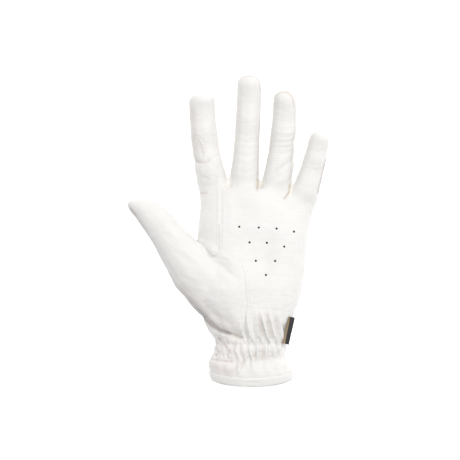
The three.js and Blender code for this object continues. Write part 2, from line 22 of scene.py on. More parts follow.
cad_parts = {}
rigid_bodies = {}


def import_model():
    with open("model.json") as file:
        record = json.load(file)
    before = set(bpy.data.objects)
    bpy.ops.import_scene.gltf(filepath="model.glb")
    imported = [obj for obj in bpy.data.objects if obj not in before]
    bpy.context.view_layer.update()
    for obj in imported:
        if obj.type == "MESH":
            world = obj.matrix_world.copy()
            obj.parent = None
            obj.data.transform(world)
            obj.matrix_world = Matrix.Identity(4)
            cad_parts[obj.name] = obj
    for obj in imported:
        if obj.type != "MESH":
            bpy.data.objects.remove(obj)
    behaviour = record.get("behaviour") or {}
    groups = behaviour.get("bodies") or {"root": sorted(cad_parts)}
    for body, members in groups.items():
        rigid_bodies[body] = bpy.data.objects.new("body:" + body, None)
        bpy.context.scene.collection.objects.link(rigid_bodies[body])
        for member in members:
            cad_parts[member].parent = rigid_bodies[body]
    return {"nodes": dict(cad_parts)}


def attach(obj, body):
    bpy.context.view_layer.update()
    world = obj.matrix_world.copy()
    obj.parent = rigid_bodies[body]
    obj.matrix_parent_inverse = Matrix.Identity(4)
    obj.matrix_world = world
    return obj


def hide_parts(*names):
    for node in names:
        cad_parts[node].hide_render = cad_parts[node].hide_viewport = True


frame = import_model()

log = logging.getLogger("riding_glove")

Array = np.ndarray
Line = tuple[tuple[float, float], ...]
# A coloured line with its reach and strength, used for tints and for painted shade.
TintAndShadeLine = tuple[Line, float, float]
Colour = tuple[float, float, float]
MM = 0.001

# The plan grid: its cell, how many cells it is wide, and the column and row of the origin.
CELL = 0.75 * MM
GRID_CELLS = 460
PLAN_COLUMN = 228.3
PLAN_ROW = 230.7

# Vertices closer than this are one.
WELD = 0.01 * MM
# How far a relaxed vertex goes towards its neighbours' middle, as a share.
RELAX = 0.5
# Edges turned more than this, in radians, stay sharp or are bevelled.
SHARP = 0.9
# Height from which the glove is looked down on, well above it.
ABOVE = 0.1
DOWN = Vector((0, 0, -1))


class Panel(Enum):
    """The cut pieces of the glove, by the name of the solid that each one stands for."""

    PALM = "palm_panel"
    BACK = "back_panel"
    THUMB_FRONT = "thumb_front"
    THUMB_BACK = "thumb_back"
    INDEX_STRIP = "fourchette_index_middle"
    MIDDLE_STRIP = "fourchette_middle_ring"
    RING_STRIP = "fourchette_ring_little"
    WRIST_SIDE = "wrist_side_panel"
    HEM = "cuff_hem"
    PATCH = "rein_patch"
    LABEL = "side_label"


class Slot(Enum):
    """The material slots of the record."""

    LEATHER = "white_leather"
    STRIP = "cream_fourchette"
    SMOCKED = "smocked_panel"
    LABEL = "black_label"


SHELL_PANELS = tuple(panel for panel in Panel if panel not in (Panel.PATCH, Panel.LABEL))
THUMB_PANELS = (Panel.THUMB_FRONT, Panel.THUMB_BACK)
STRIPS = (Panel.INDEX_STRIP, Panel.MIDDLE_STRIP, Panel.RING_STRIP)


# Plan grid and array helpers.


def on_plan(points: Line) -> Array:
    """Turns places on the plan grid into metres.

    Args:
        points: Column and row of each place.

    Returns:
        One x and y in metres a row.
    """
    cells = np.array(points, float).reshape(-1, 2)
    return np.stack([(cells[:, 0] - PLAN_COLUMN) * CELL, (PLAN_ROW - cells[:, 1]) * CELL], 1)


def smooth_step(low: float, high: float, value: Array) -> Array:
    """Rises smoothly from 0 at low to 1 at high."""
    t = np.clip((value - low) / (high - low), 0, 1)
    return t * t * (3 - 2 * t)


def bell(gap: Array, width: float) -> Array:
    """Falls smoothly from 1 where there is no gap towards 0 beyond the width."""
    return np.exp(-((gap / width) ** 2))


def along_line(places: Array, line: Array) -> tuple[Array, Array]:
    """Measures places against a drawn line.

    Args:
        places: The x and y of each place.
        line: The x and y of the line's corners.

    Returns:
        The distance from the line, and the share of its length at the nearest point.
    """
    best = np.full(len(places), 1e9)
    share = np.zeros(len(places))
    steps = np.linalg.norm(np.diff(line, axis=0), axis=1)
    total = steps.sum()
    walked = 0.0
    for start, end, length in zip(line[:-1], line[1:], steps):
        way = end - start
        t = np.clip(((places - start) @ way) / (way @ way), 0, 1)
        gap = np.linalg.norm(places - (start + t[:, None] * way), axis=1)
        nearer = gap < best
        best = np.where(nearer, gap, best)
        share = np.where(nearer, (walked + t * length) / total, share)
        walked += length
    return best, share


def noise_field(places: Array, scale: tuple[float, float, float], seed: float) -> Array:
    """Gives smooth noise between about -1 and 1 at each place, at so many bumps a metre."""
    stretched = places * np.array(scale) + seed
    return np.array([weather.noise(p) for p in stretched.tolist()])


def read_rows(items: object, name: str, width: int, kind: type = float) -> Array:
    """Reads a property of each item of a mesh.

    Args:
        items: The mesh's vertices, edges, loops or faces.
        name: The property's name.
        width: How many values it has.
        kind: The type of its values.

    Returns:
        One row of values for each item.
    """
    flat = np.zeros(len(items) * width, kind)
    items.foreach_get(name, flat)
    return flat.reshape(-1, width)


def read_points(mesh: bpy.types.Mesh) -> Array:
    """Reads a mesh's vertices as one row each."""
    return read_rows(mesh.vertices, "co", 3)


def write_points(mesh: bpy.types.Mesh, points: Array) -> None:
    """Writes one row for each of a mesh's vertices."""
    mesh.vertices.foreach_set("co", points.ravel())
    mesh.update()


def neighbour_mean(values: Array, edges: Array, count: int) -> Array:
    """Averages each vertex's neighbours along the given edges, or keeps it where it has none."""
    heads = np.concatenate([edges[:, 0], edges[:, 1]])
    tails = np.concatenate([edges[:, 1], edges[:, 0]])
    degree = np.bincount(heads, minlength=count)
    columns = [np.bincount(heads, weights=values[tails, k], minlength=count) for k in range(3)]
    total = np.stack(columns, 1)
    return np.where(degree[:, None] > 0, total / np.maximum(degree, 1)[:, None], values)


# Working with objects.


def deselect_all() -> None:
    """Leaves object mode with nothing selected."""
    if bpy.context.object is not None and bpy.context.object.mode != "OBJECT":
        bpy.ops.object.mode_set(mode="OBJECT")
    bpy.ops.object.select_all(action="DESELECT")


def pick(piece: bpy.types.Object) -> None:
    """Selects one piece alone and makes it active."""
    deselect_all()
    piece.select_set(True)
    bpy.context.view_layer.objects.active = piece


@contextmanager
def editing(piece: bpy.types.Object) -> Iterator[None]:
    """Opens a piece in edit mode with all of it selected, and leaves edit mode at the end."""
    pick(piece)
    bpy.ops.object.mode_set(mode="EDIT")
    bpy.ops.mesh.select_all(action="SELECT")
    yield
    bpy.ops.object.mode_set(mode="OBJECT")


def apply_modifier(piece: bpy.types.Object, kind: str, **settings: object) -> None:
    """Adds a modifier to a piece, sets it and applies it."""
    pick(piece)
    modifier = piece.modifiers.new(kind.lower(), kind)
    for name, value in settings.items():
        setattr(modifier, name, value)
    bpy.ops.object.modifier_apply(modifier=modifier.name)


def add_cylinder(
    sides: int, radius: float, depth: float, place: tuple[float, float, float]
) -> bpy.types.Object:
    """Adds an upright cylinder with its middle at a place."""
    deselect_all()
    bpy.ops.mesh.primitive_cylinder_add(vertices=sides, radius=radius, depth=depth, location=place)
    return bpy.context.object


def copy_of(source: bpy.types.Object, name: str) -> bpy.types.Object:
    """Copies an object with its own mesh and no parent, under a new name."""
    twin = source.copy()
    twin.data = source.data.copy()
    twin.name = name
    twin.data.name = name
    twin.parent = None
    for key in list(twin.keys()):
        del twin[key]
    bpy.context.scene.collection.objects.link(twin)
    return twin


def join_all(pieces: list[bpy.types.Object]) -> bpy.types.Object:
    """Joins objects into the first of them."""
    deselect_all()
    for piece in pieces:
        piece.select_set(True)
    bpy.context.view_layer.objects.active = pieces[0]
    if len(pieces) > 1:
        bpy.ops.object.join()
    return pieces[0]


def keep_faces(piece: bpy.types.Object, kept: Array) -> None:
    """Deletes every face of a piece that isn't kept, by edit-mode selection."""
    pick(piece)
    bpy.ops.object.mode_set(mode="EDIT")
    bpy.ops.mesh.select_mode(type="FACE")
    bpy.ops.mesh.select_all(action="DESELECT")
    bpy.ops.object.mode_set(mode="OBJECT")
    piece.data.polygons.foreach_set("select", np.logical_not(kept))
    bpy.ops.object.mode_set(mode="EDIT")
    bpy.ops.mesh.delete(type="FACE")
    bpy.ops.mesh.select_mode(type="VERT")
    bpy.ops.mesh.select_all(action="SELECT")
    bpy.ops.mesh.delete_loose(use_verts=True, use_edges=True, use_faces=False)
    bpy.ops.object.mode_set(mode="OBJECT")


def tree_of(mesh: bpy.types.Mesh) -> BVHTree:
    """Builds a search tree over a mesh's faces."""
    corners = [tuple(v.co) for v in mesh.vertices]
    return BVHTree.FromPolygons(corners, [tuple(p.vertices) for p in mesh.polygons])


def solid_mesh(panel: Panel) -> bpy.types.Mesh:
    """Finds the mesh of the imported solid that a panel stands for."""
    return frame["nodes"][panel.value].data


def hit_below(tree: BVHTree, x: float, y: float) -> tuple:
    """Looks straight down on a tree's faces.

    Returns:
        The spot, its normal, the face's number and the distance, or None for each where nothing
        lies below.
    """
    return tree.ray_cast(Vector((x, y, ABOVE)), DOWN)


# The glove's skin, from which its panels are cut.


# The perforations on the plan grid, in their four rows from the fingers down.
EYELETS = (
    *((239.2, 227.5), (258.5, 228.3), (276.3, 229.3), (293.7, 232.3)),
    *((249.4, 243.0), (266.6, 243.4), (283.9, 247.2)),
    *((255.6, 261.3), (274.8, 261.5)),
    (265.6, 275.3),
)


@dataclass
class GloveSkin:
    """One closed surface over all the panels, which is shaped before it is cut into them.

    Attributes:
        voxel: Width of a cell of the remesh.
        allowance: How far the walls are thickened so that the seams between them close.
        polish: How many times the remeshed surface is relaxed.
        plug_ring: How far round a perforation the palm's height is read.
        plug_radius: Radius of the disc that shuts a perforation.
        plug_depth: Thickness of that disc.
        mouth_steps: In how many steps the hem's lower edge is read.
        mouth_trim: How far above that edge the plug's faces are cut away.
        mouth_gap: How far above that edge the mouth's rim is laid.
        patch_depth: How deep under the skin the search for the patch over it starts.
        patch_reach: How far that search goes.
        votes: How many times the borders between panels are evened out.
        border_width: How many rows of faces beside a border are eased.
        border_polish: How many times a border is relaxed.
        eyelets: The perforations on the plan grid.
        body: The skin as an object.
        points: Its vertices.
        normals: Their normals.
        edges: The two vertices of each edge.
        labels: The number in SHELL_PANELS of each face's panel.
        covered: Whether each face lies under the patch.
    """

    voxel: float = 0.85 * MM
    allowance: float = 0.3 * MM
    polish: int = 9
    plug_ring: float = 1.5 * MM
    plug_radius: float = 1.2 * MM
    plug_depth: float = 1.1 * MM
    mouth_steps: int = 32
    mouth_trim: float = 0.5 * MM
    mouth_gap: float = 0.35 * MM
    patch_depth: float = 0.6 * MM
    patch_reach: float = 3 * MM
    votes: int = 6
    border_width: int = 3
    border_polish: int = 14
    eyelets: Line = EYELETS
    body: bpy.types.Object | None = None
    points: Array = field(default_factory=lambda: np.zeros((0, 3)))
    normals: Array = field(default_factory=lambda: np.zeros((0, 3)))
    edges: Array = field(default_factory=lambda: np.zeros((0, 2), np.int64))
    labels: Array = field(default_factory=lambda: np.zeros(0, np.int64))
    covered: Array = field(default_factory=lambda: np.zeros(0, bool))

    def build(self) -> None:
        """Gathers copies of the panels, closes them and remeshes their outside."""
        parts = [copy_of(frame["nodes"][panel.value], "skin_part") for panel in SHELL_PANELS]
        parts.append(self.mouth_plug())
        parts += self.eyelet_plugs()
        body = join_all(parts)
        body.name = "glove_skin"
        body.data.materials.clear()
        with editing(body):
            bpy.ops.mesh.remove_doubles(threshold=WELD)
        apply_modifier(body, "DISPLACE", strength=self.allowance, mid_level=0.0)
        apply_modifier(body, "REMESH", mode="VOXEL", voxel_size=self.voxel, adaptivity=0.0)
        self.keep_outside(body)
        self.body = body
        self.refresh()
        for _ in range(self.polish):
            mean = neighbour_mean(self.points, self.edges, len(self.points))
            self.points += RELAX * (mean - self.points)
        self.commit()
        log.info("skin: %d vertices", len(self.points))

    def mouth_plug(self) -> bpy.types.Object:
        """Makes a solid as wide as the hem, which shuts the mouth while the skin is remeshed."""
        plug = copy_of(frame["nodes"][Panel.HEM.value], "mouth_plug")
        with editing(plug):
            bpy.ops.mesh.remove_doubles(threshold=WELD)
            bpy.ops.mesh.convex_hull()
        return plug

    def eyelet_plugs(self) -> list[bpy.types.Object]:
        """Makes a small disc in each perforation, which shuts it while the skin is remeshed."""
        palm = tree_of(solid_mesh(Panel.PALM))
        plugs = []
        for x, y in on_plan(self.eyelets):
            heights = []
            for angle in np.linspace(0, 2 * math.pi, 6, endpoint=False):
                across, along = self.plug_ring * math.cos(angle), self.plug_ring * math.sin(angle)
                hit = hit_below(palm, x + across, y + along)[0]
                if hit is not None:
                    heights.append(hit.z)
            height = float(np.mean(heights)) - self.plug_depth / 2
            plugs.append(add_cylinder(16, self.plug_radius, self.plug_depth, (x, y, height)))
        return plugs

    def keep_outside(self, body: bpy.types.Object) -> None:
        """Deletes the surfaces inside the outermost one."""
        heights = read_points(body.data)[:, 2]
        pick(body)
        bpy.ops.object.mode_set(mode="EDIT")
        bpy.ops.mesh.select_mode(type="VERT")
        bpy.ops.mesh.select_all(action="DESELECT")
        bpy.ops.object.mode_set(mode="OBJECT")
        body.data.vertices[int(np.argmax(heights))].select = True
        bpy.ops.object.mode_set(mode="EDIT")
        bpy.ops.mesh.select_linked()
        bpy.ops.mesh.select_all(action="INVERT")
        bpy.ops.mesh.delete(type="VERT")
        bpy.ops.object.mode_set(mode="OBJECT")
        log.info("outside keeps %d of %d vertices", len(body.data.vertices), len(heights))

    def refresh(self) -> None:
        """Reads the skin's points, normals and edges from its mesh."""
        mesh = self.body.data
        self.points = read_points(mesh)
        self.normals = read_rows(mesh.vertex_normals, "vector", 3)
        self.edges = read_rows(mesh.edges, "vertices", 2, np.int64)

    def commit(self) -> None:
        """Writes the skin's points to its mesh and reads its new normals."""
        write_points(self.body.data, self.points)
        self.normals = read_rows(self.body.data.vertex_normals, "vector", 3)

    def move(self, amount: Array) -> None:
        """Moves each vertex so far along its normal."""
        self.points += self.normals * amount[:, None]
        self.commit()

    def open_mouth(self) -> None:
        """Cuts the plug's end away along the hem's lower edge."""
        hem = read_points(solid_mesh(Panel.HEM))
        middle = (hem.min(0) + hem.max(0)) / 2
        turn = np.arctan2(hem[:, 2] - middle[2], hem[:, 0] - middle[0])
        ends = np.linspace(-math.pi, math.pi, self.mouth_steps + 1)
        lowest = []
        centres = []
        for start, end in zip(ends[:-1], ends[1:]):
            rows = hem[(turn >= start) & (turn <= end), 1]
            if len(rows) and rows.min() < middle[1]:
                lowest.append(rows.min())
                centres.append((start + end) / 2)

        def rim(places: Array) -> Array:
            """Gives the row of the hem's lower edge at each place round the mouth."""
            around = np.arctan2(places[:, 2] - middle[2], places[:, 0] - middle[0])
            return np.interp(around, centres, lowest, period=2 * math.pi)

        centre = self.face_centres()
        keep_faces(self.body, centre[:, 1] > rim(centre) + self.mouth_trim)
        self.refresh()
        edge = self.open_edge()
        self.points[edge, 1] = rim(self.points[edge]) + self.mouth_gap
        self.commit()

    def face_centres(self) -> Array:
        """Reads the middle of each face."""
        return read_rows(self.body.data.polygons, "center", 3)

    def face_pairs(self) -> tuple[Array, Array]:
        """Finds the faces that meet at each edge.

        Returns:
            The two faces of each inner edge, and that edge's number.
        """
        mesh = self.body.data
        loop_edge = read_rows(mesh.loops, "edge_index", 1, np.int64)[:, 0]
        sides = read_rows(mesh.polygons, "loop_total", 1, np.int64)[:, 0]
        loop_face = np.repeat(np.arange(len(sides)), sides)
        order = np.argsort(loop_edge, kind="stable")
        edge, face = loop_edge[order], loop_face[order]
        same = np.flatnonzero(edge[:-1] == edge[1:])
        return np.stack([face[same], face[same + 1]], 1), edge[same]

    def open_edge(self) -> Array:
        """Finds the vertices round the mouth."""
        shared = np.zeros(len(self.edges), bool)
        shared[self.face_pairs()[1]] = True
        return np.unique(self.edges[~shared])

    def name_faces(self) -> None:
        """Gives each face the panel whose solid lies nearest, and evens out the borders."""
        centres = self.face_centres()
        gaps = []
        for panel in SHELL_PANELS:
            tree = tree_of(solid_mesh(panel))
            gaps.append([tree.find_nearest(Vector(c))[3] for c in centres.tolist()])
        self.labels = self.evened(np.argmin(np.array(gaps), axis=0), len(SHELL_PANELS))
        patch = tree_of(solid_mesh(Panel.PATCH))
        facing = read_rows(self.body.data.polygons, "normal", 3)
        covered = []
        for centre, normal in zip(centres.tolist(), facing.tolist()):
            start = Vector(centre) - self.patch_depth * Vector(normal)
            covered.append(patch.ray_cast(start, Vector(normal), self.patch_reach)[0] is not None)
        thumb = [SHELL_PANELS.index(panel) for panel in THUMB_PANELS]
        self.covered = self.evened(np.array(covered, np.int64), 2) == 1
        self.covered &= ~np.isin(self.labels, thumb)

    def evened(self, labels: Array, count: int) -> Array:
        """Lets each face take the label that most of its neighbours have, a few times over.

        Args:
            labels: The label of each face.
            count: How many labels there are.

        Returns:
            The new label of each face.
        """
        pairs, _ = self.face_pairs()
        size = len(labels) * count
        for _ in range(self.votes):
            votes = np.bincount(np.arange(len(labels)) * count + labels, minlength=size)
            for a, b in ((0, 1), (1, 0)):
                ballots = pairs[:, a] * count + labels[pairs[:, b]]
                votes = votes + np.bincount(ballots, minlength=size)
            labels = votes.reshape(-1, count).argmax(1)
        return labels

    def borders(self) -> Array:
        """Finds the edges where two panels meet, or where the patch ends."""
        pairs, edge = self.face_pairs()
        met = self.labels[pairs[:, 0]] != self.labels[pairs[:, 1]]
        rim = self.covered[pairs[:, 0]] != self.covered[pairs[:, 1]]
        return edge[met | rim]

    def smooth_borders(self) -> None:
        """Draws the borders between panels into even lines, and eases the faces beside them."""
        line = self.edges[self.borders()]
        on_line = np.zeros(len(self.points), bool)
        on_line[line.ravel()] = True
        beside = on_line.copy()
        for _ in range(self.border_width):
            beside[self.edges[beside[self.edges].any(1)].ravel()] = True
        fixed = np.zeros(len(self.points), bool)
        fixed[self.open_edge()] = True
        beside &= ~on_line & ~fixed
        on_line &= ~fixed
        count = len(self.points)
        for _ in range(self.border_polish):
            for rows, chosen in ((line, on_line), (self.edges, beside)):
                mean = neighbour_mean(self.points, rows, count)
                self.points[chosen] += RELAX * (mean - self.points)[chosen]
        self.commit()

    def gap_to(self, edges: Array) -> Array:
        """Measures how far each vertex is from the nearest of some edges."""
        ends = self.points[np.unique(self.edges[edges])]
        marks = np.concatenate([ends, self.points[self.edges[edges]].mean(1)])
        tree = KDTree(len(marks))
        for number, mark in enumerate(marks.tolist()):
            tree.insert(mark, number)
        tree.balance()
        return np.array([tree.find(p)[2] for p in self.points.tolist()])

    def cut(self, panel: Panel) -> bpy.types.Object:
        """Cuts one panel out of the skin as a piece of its own."""
        piece = copy_of(self.body, panel.value + "_cut")
        if panel is Panel.PATCH:
            keep_faces(piece, self.covered)
        else:
            keep_faces(piece, self.labels == SHELL_PANELS.index(panel))
        return piece


# Folds, creases and gathers.


@dataclass(frozen=True)
class Fold:
    """A crease or a ridge, drawn on the plan grid.

    Attributes:
        line: Its corners.
        rise: Height in millimetres, below zero for a crease.
        width: Half its width in millimetres.
        wrap: How far round the sides it reaches, from 0 to 1.
    """

    line: Line
    rise: float
    width: float
    wrap: float = 0.0


@dataclass(frozen=True)
class Swell:
    """A soft bump or dent.

    Attributes:
        place: Its middle on the plan grid.
        rise: Height in millimetres, below zero for a dent.
        reach: Its reach in millimetres across and along.
    """

    place: tuple[float, float]
    rise: float
    reach: tuple[float, float]


FINGER_FOLDS = (
    Fold(((187, 160), (200, 164), (209, 162), (219, 156)), -0.85, 1.2, 0.8),
    Fold(((189, 154), (202, 158), (214, 152)), 0.25, 1.5, 0.6),
    Fold(((190, 169), (203, 171), (216, 168)), 0.31, 1.9, 0.5),
    Fold(((192, 177), (205, 179), (217, 177)), -0.25, 1.2, 0.5),
    Fold(((193, 186), (206, 187), (215, 186)), -0.22, 1.1, 0.4),
    Fold(((196, 193.5), (209, 194)), -0.31, 0.9, 0.2),
    Fold(((186, 121), (199, 124), (210, 122)), -0.15, 1.1, 0.5),
    Fold(((186, 130), (198, 132.5), (212, 130)), -0.19, 1.1, 0.5),
    Fold(((235, 122), (246, 124), (260, 121)), -0.14, 1.0, 0.5),
    Fold(((234, 134), (247, 136), (262, 133)), -0.19, 1.1, 0.6),
    Fold(((236, 141), (248, 143.5), (262, 141)), -0.26, 1.0, 0.6),
    Fold(((240, 148), (250, 150), (262, 148)), -0.25, 1.0, 0.6),
    Fold(((231, 154), (245, 157), (261, 155)), -0.28, 1.2, 0.5),
    Fold(((233, 163), (246, 165), (259, 162)), -0.19, 1.2, 0.4),
    Fold(((232, 172), (245, 174), (257, 172)), -0.19, 1.3, 0.3),
    Fold(((270, 121), (284, 123), (297, 120)), -0.15, 1.0, 0.5),
    Fold(((272, 129), (285, 131), (297, 129)), -0.19, 1.0, 0.5),
    Fold(((276, 137), (286, 138), (298, 135)), -0.34, 1.0, 0.8),
    Fold(((272, 142.5), (285, 143.5), (298, 140.5)), -0.37, 1.0, 0.9),
    Fold(((276, 148), (286, 148.5), (297, 145.5)), -0.43, 1.0, 0.9),
    Fold(((271, 154), (284, 154.5), (295, 150.5)), -0.31, 1.2, 0.7),
    Fold(((261, 186), (271, 177), (282, 169), (294, 159)), -0.9, 2.0, 0.4),
    Fold(((265, 177), (276, 168), (288, 158)), 0.28, 2.0, 0.3),
    Fold(((266, 190), (280, 182), (293, 174)), 0.5, 2.1, 0.5),
    Fold(((283, 175), (284, 190)), -0.22, 0.9),
    Fold(((306, 163.5), (316, 166), (329, 164)), -0.19, 0.9, 0.6),
    Fold(((305, 168.5), (315, 171), (327, 169)), -0.19, 0.9, 0.6),
    Fold(((309, 150), (319, 152), (331, 150)), -0.14, 1.0, 0.5),
    Fold(((300, 186), (309, 188), (321, 184)), -0.15, 1.3, 0.4),
)

PALM_FOLDS = (
    Fold(((206.5, 255), (210.5, 257.6), (216.5, 256.6)), -0.8, 0.9),
    Fold(((207, 259), (221, 266), (239, 282)), -0.75, 2.3),
    Fold(((214, 252), (228, 259), (240, 270)), 0.5, 2.4),
    Fold(
        ((195, 306), (205, 315.5), (212, 324), (219, 330.5), (228, 333.5), (241, 338)),
        *(-2.9, 1.7, 0.3),
    ),
    Fold(((190, 296), (201, 307), (210, 316), (220, 323), (238, 330)), 1.5, 2.6, 0.2),
    Fold(((203, 318), (209, 329), (215, 337)), 0.9, 1.6, 0.7),
    Fold(((284, 206), (297, 201), (309, 194)), 0.35, 2.2),
    Fold(((288, 213), (300, 207), (309, 203)), -0.35, 2.2),
    Fold(((226, 196), (232, 212), (230, 232)), 0.3, 2.8),
    Fold(((300, 232), (297, 262), (293, 292)), -0.35, 2.4),
    Fold(((170, 250), (190, 262), (206, 272)), -0.3, 2.2),
    Fold(((180, 276), (198, 284), (214, 290)), -0.3, 2.0),
    Fold(((160, 232), (172, 238), (187, 250)), -0.28, 1.8),
)

WRIST_RIDGES = (
    Fold(((239.5, 322), (242, 332), (243.6, 343)), 1.28, 1.2),
    Fold(((246.5, 312), (248.6, 328), (251.8, 343.5)), 1.55, 1.25),
    Fold(((254.5, 308), (257, 322), (260.5, 343.5)), 1.49, 1.3),
    Fold(((260.5, 311), (264, 326), (268.8, 343.5)), 1.69, 1.3),
    Fold(((269, 315), (272, 329), (276.5, 343.5)), 1.49, 1.3),
    Fold(((278, 314), (281, 330), (283.5, 343.5)), 1.22, 1.3),
    Fold(((242.8, 326), (244.8, 335), (247.4, 344)), -1.76, 1.0),
    Fold(((250.5, 316), (253, 330), (256, 344)), -1.62, 1.1),
    Fold(((258, 316), (261.5, 329), (264.8, 344)), -2.09, 1.15),
    Fold(((266, 314), (269.5, 328), (272.5, 344)), -2.16, 1.15),
    Fold(((274.5, 318), (277.5, 331), (280.4, 344)), -2.03, 1.15),
    Fold(((283, 322), (285.5, 334), (286.5, 344)), -1.49, 1.1),
)

CUFF_RIDGES = (
    Fold(((236.5, 341), (235.2, 350), (240.5, 361), (236.5, 367.5)), 1.35, 1.1),
    Fold(((240.5, 345), (240, 352), (244, 360), (241, 368)), -1.22, 0.9),
    Fold(((243.5, 345), (244.6, 353), (246.6, 366)), 1.08, 1.1),
    Fold(((247.4, 345), (247.6, 353), (249.2, 361)), -1.49, 0.85),
    Fold(((250.5, 345), (251, 354), (253, 368)), 1.15, 1.1),
    Fold(((254.5, 345), (254.6, 353), (254.4, 361)), -1.55, 0.85),
    Fold(((258, 345), (258, 354), (257.6, 366)), 1.01, 1.1),
    Fold(((262.2, 345), (262, 353), (261.6, 361)), -1.55, 0.85),
    Fold(((266, 345), (266, 354), (265, 366)), 0.94, 1.1),
    Fold(((270, 345), (270.4, 353), (270.8, 361)), -1.35, 0.9),
    Fold(((274, 345), (274.4, 354), (276, 366)), 1.01, 1.1),
    Fold(((278, 345), (279, 353), (280, 361)), -1.28, 0.9),
    Fold(((282, 345), (283.4, 354), (286, 367)), 0.94, 1.1),
    Fold(((286, 345), (287, 352), (288, 361)), -1.22, 0.9),
)

ELASTIC_ROWS = (
    Fold(((206, 344), (236, 345), (262, 344.6), (284, 344.4), (300, 343)), -0.5, 1.3, 1.0),
    Fold(((206, 360), (220, 360.6), (234, 361)), -0.8, 0.8, 1.0),
    Fold(((240, 352), (262, 352), (284, 351.6), (300, 351)), -0.55, 4.5, 1.0),
)

PINCHES = (
    Fold(((241.5, 336), (243.5, 342), (245, 347)), -1.2, 0.75),
    Fold(((249.6, 337), (252, 342.5), (253.4, 348)), -1.35, 0.75),
    Fold(((257.8, 337), (260.4, 343), (261.6, 348)), -1.25, 0.75),
    Fold(((266, 338), (268.4, 343.5), (269.4, 348.5)), -1.3, 0.75),
    Fold(((274, 337), (276, 342.5), (277.2, 348)), -1.2, 0.75),
    Fold(((281, 337), (282.4, 343), (283, 348)), -1.0, 0.75),
    Fold(((246.4, 351), (248.2, 357), (248.4, 362.5)), -1.0, 0.7),
    Fold(((253.2, 349), (254.4, 355), (253, 361.5)), -1.1, 0.7),
    Fold(((259.2, 350), (261, 355.5), (261.4, 361)), -1.15, 0.7),
    Fold(((268, 350), (270, 356), (270.4, 361)), -0.9, 0.75),
    Fold(((277, 350), (278.8, 355.5), (280.2, 360)), -0.8, 0.75),
    Fold(((247.5, 340), (248.4, 348), (250.8, 356)), 0.75, 1.0),
    Fold(((256.5, 340), (257.6, 348), (257.4, 357)), 0.8, 1.0),
    Fold(((264.8, 340), (265.6, 348), (265.8, 356)), 0.7, 1.0),
    Fold(((272.6, 340), (273.2, 348), (274.8, 356)), 0.65, 1.0),
)

SWELLS = (
    Swell((201, 101), 1.0, (11.0, 3.6)),
    Swell((248, 84), 1.4, (7.5, 6.0)),
    Swell((284, 100), 1.3, (7.0, 6.0)),
    Swell((325, 140), 0.9, (4.5, 4.5)),
    Swell((297, 142.5), -1.5, (2.6, 3.2)),
    Swell((295, 167), 1.0, (3.2, 4.4)),
    Swell((212.5, 250.5), 1.1, (2.8, 3.2)),
    Swell((200, 300), 0.6, (9.0, 6.0)),
)

# The next three tables hold lines on the plan grid with their reach in millimetres. The last two
# also hold how strongly each line is coloured, the first with painted shade and the second with
# tints and painted shade.
RIBBED_PLACES = (
    (((248, 128), (248, 172)), 9.0),
    (((284, 118), (280, 158)), 9.0),
    (((201, 112), (203, 152)), 8.0),
    (((316, 160), (313, 172)), 6.0),
    (((252, 300), (290, 300)), 11.0),
    (((165, 250), (190, 285), (225, 310)), 16.0),
)

# Painted shade: along the thumb's outer edge and its lower side, under the thenar's overhang, along
# the little finger's outer edge and the other fingers' sides, below the hem and beside the patch's
# edge.
SHADED_PLACES = (
    (
        ((128, 211), (142, 231), (152, 249), (163, 271), (176, 290), (192, 304), (204, 317)),
        *(3.2, 0.72),
    ),
    (((133, 213), (150, 238), (170, 268), (198, 302), (224, 322)), 5.0, 0.12),
    (((197, 307), (204, 317.5), (212, 326), (221, 331), (230, 333.5)), 1.3, 0.8),
    (((326.6, 160), (322.6, 176), (318.4, 193)), 0.9, 0.65),
    (((261, 90), (260.5, 120), (258.5, 150), (257.5, 178)), 0.7, 0.3),
    (((295, 110), (295, 130), (292.5, 145), (291, 160), (290, 180)), 0.7, 0.25),
    (((213, 95), (215, 118), (220, 150), (226, 182)), 0.7, 0.2),
    (((214, 382), (240, 386), (265, 386), (290, 381)), 0.7, 0.3),
    (((219.4, 225), (219.6, 240), (219, 250)), 0.4, 0.45),
)
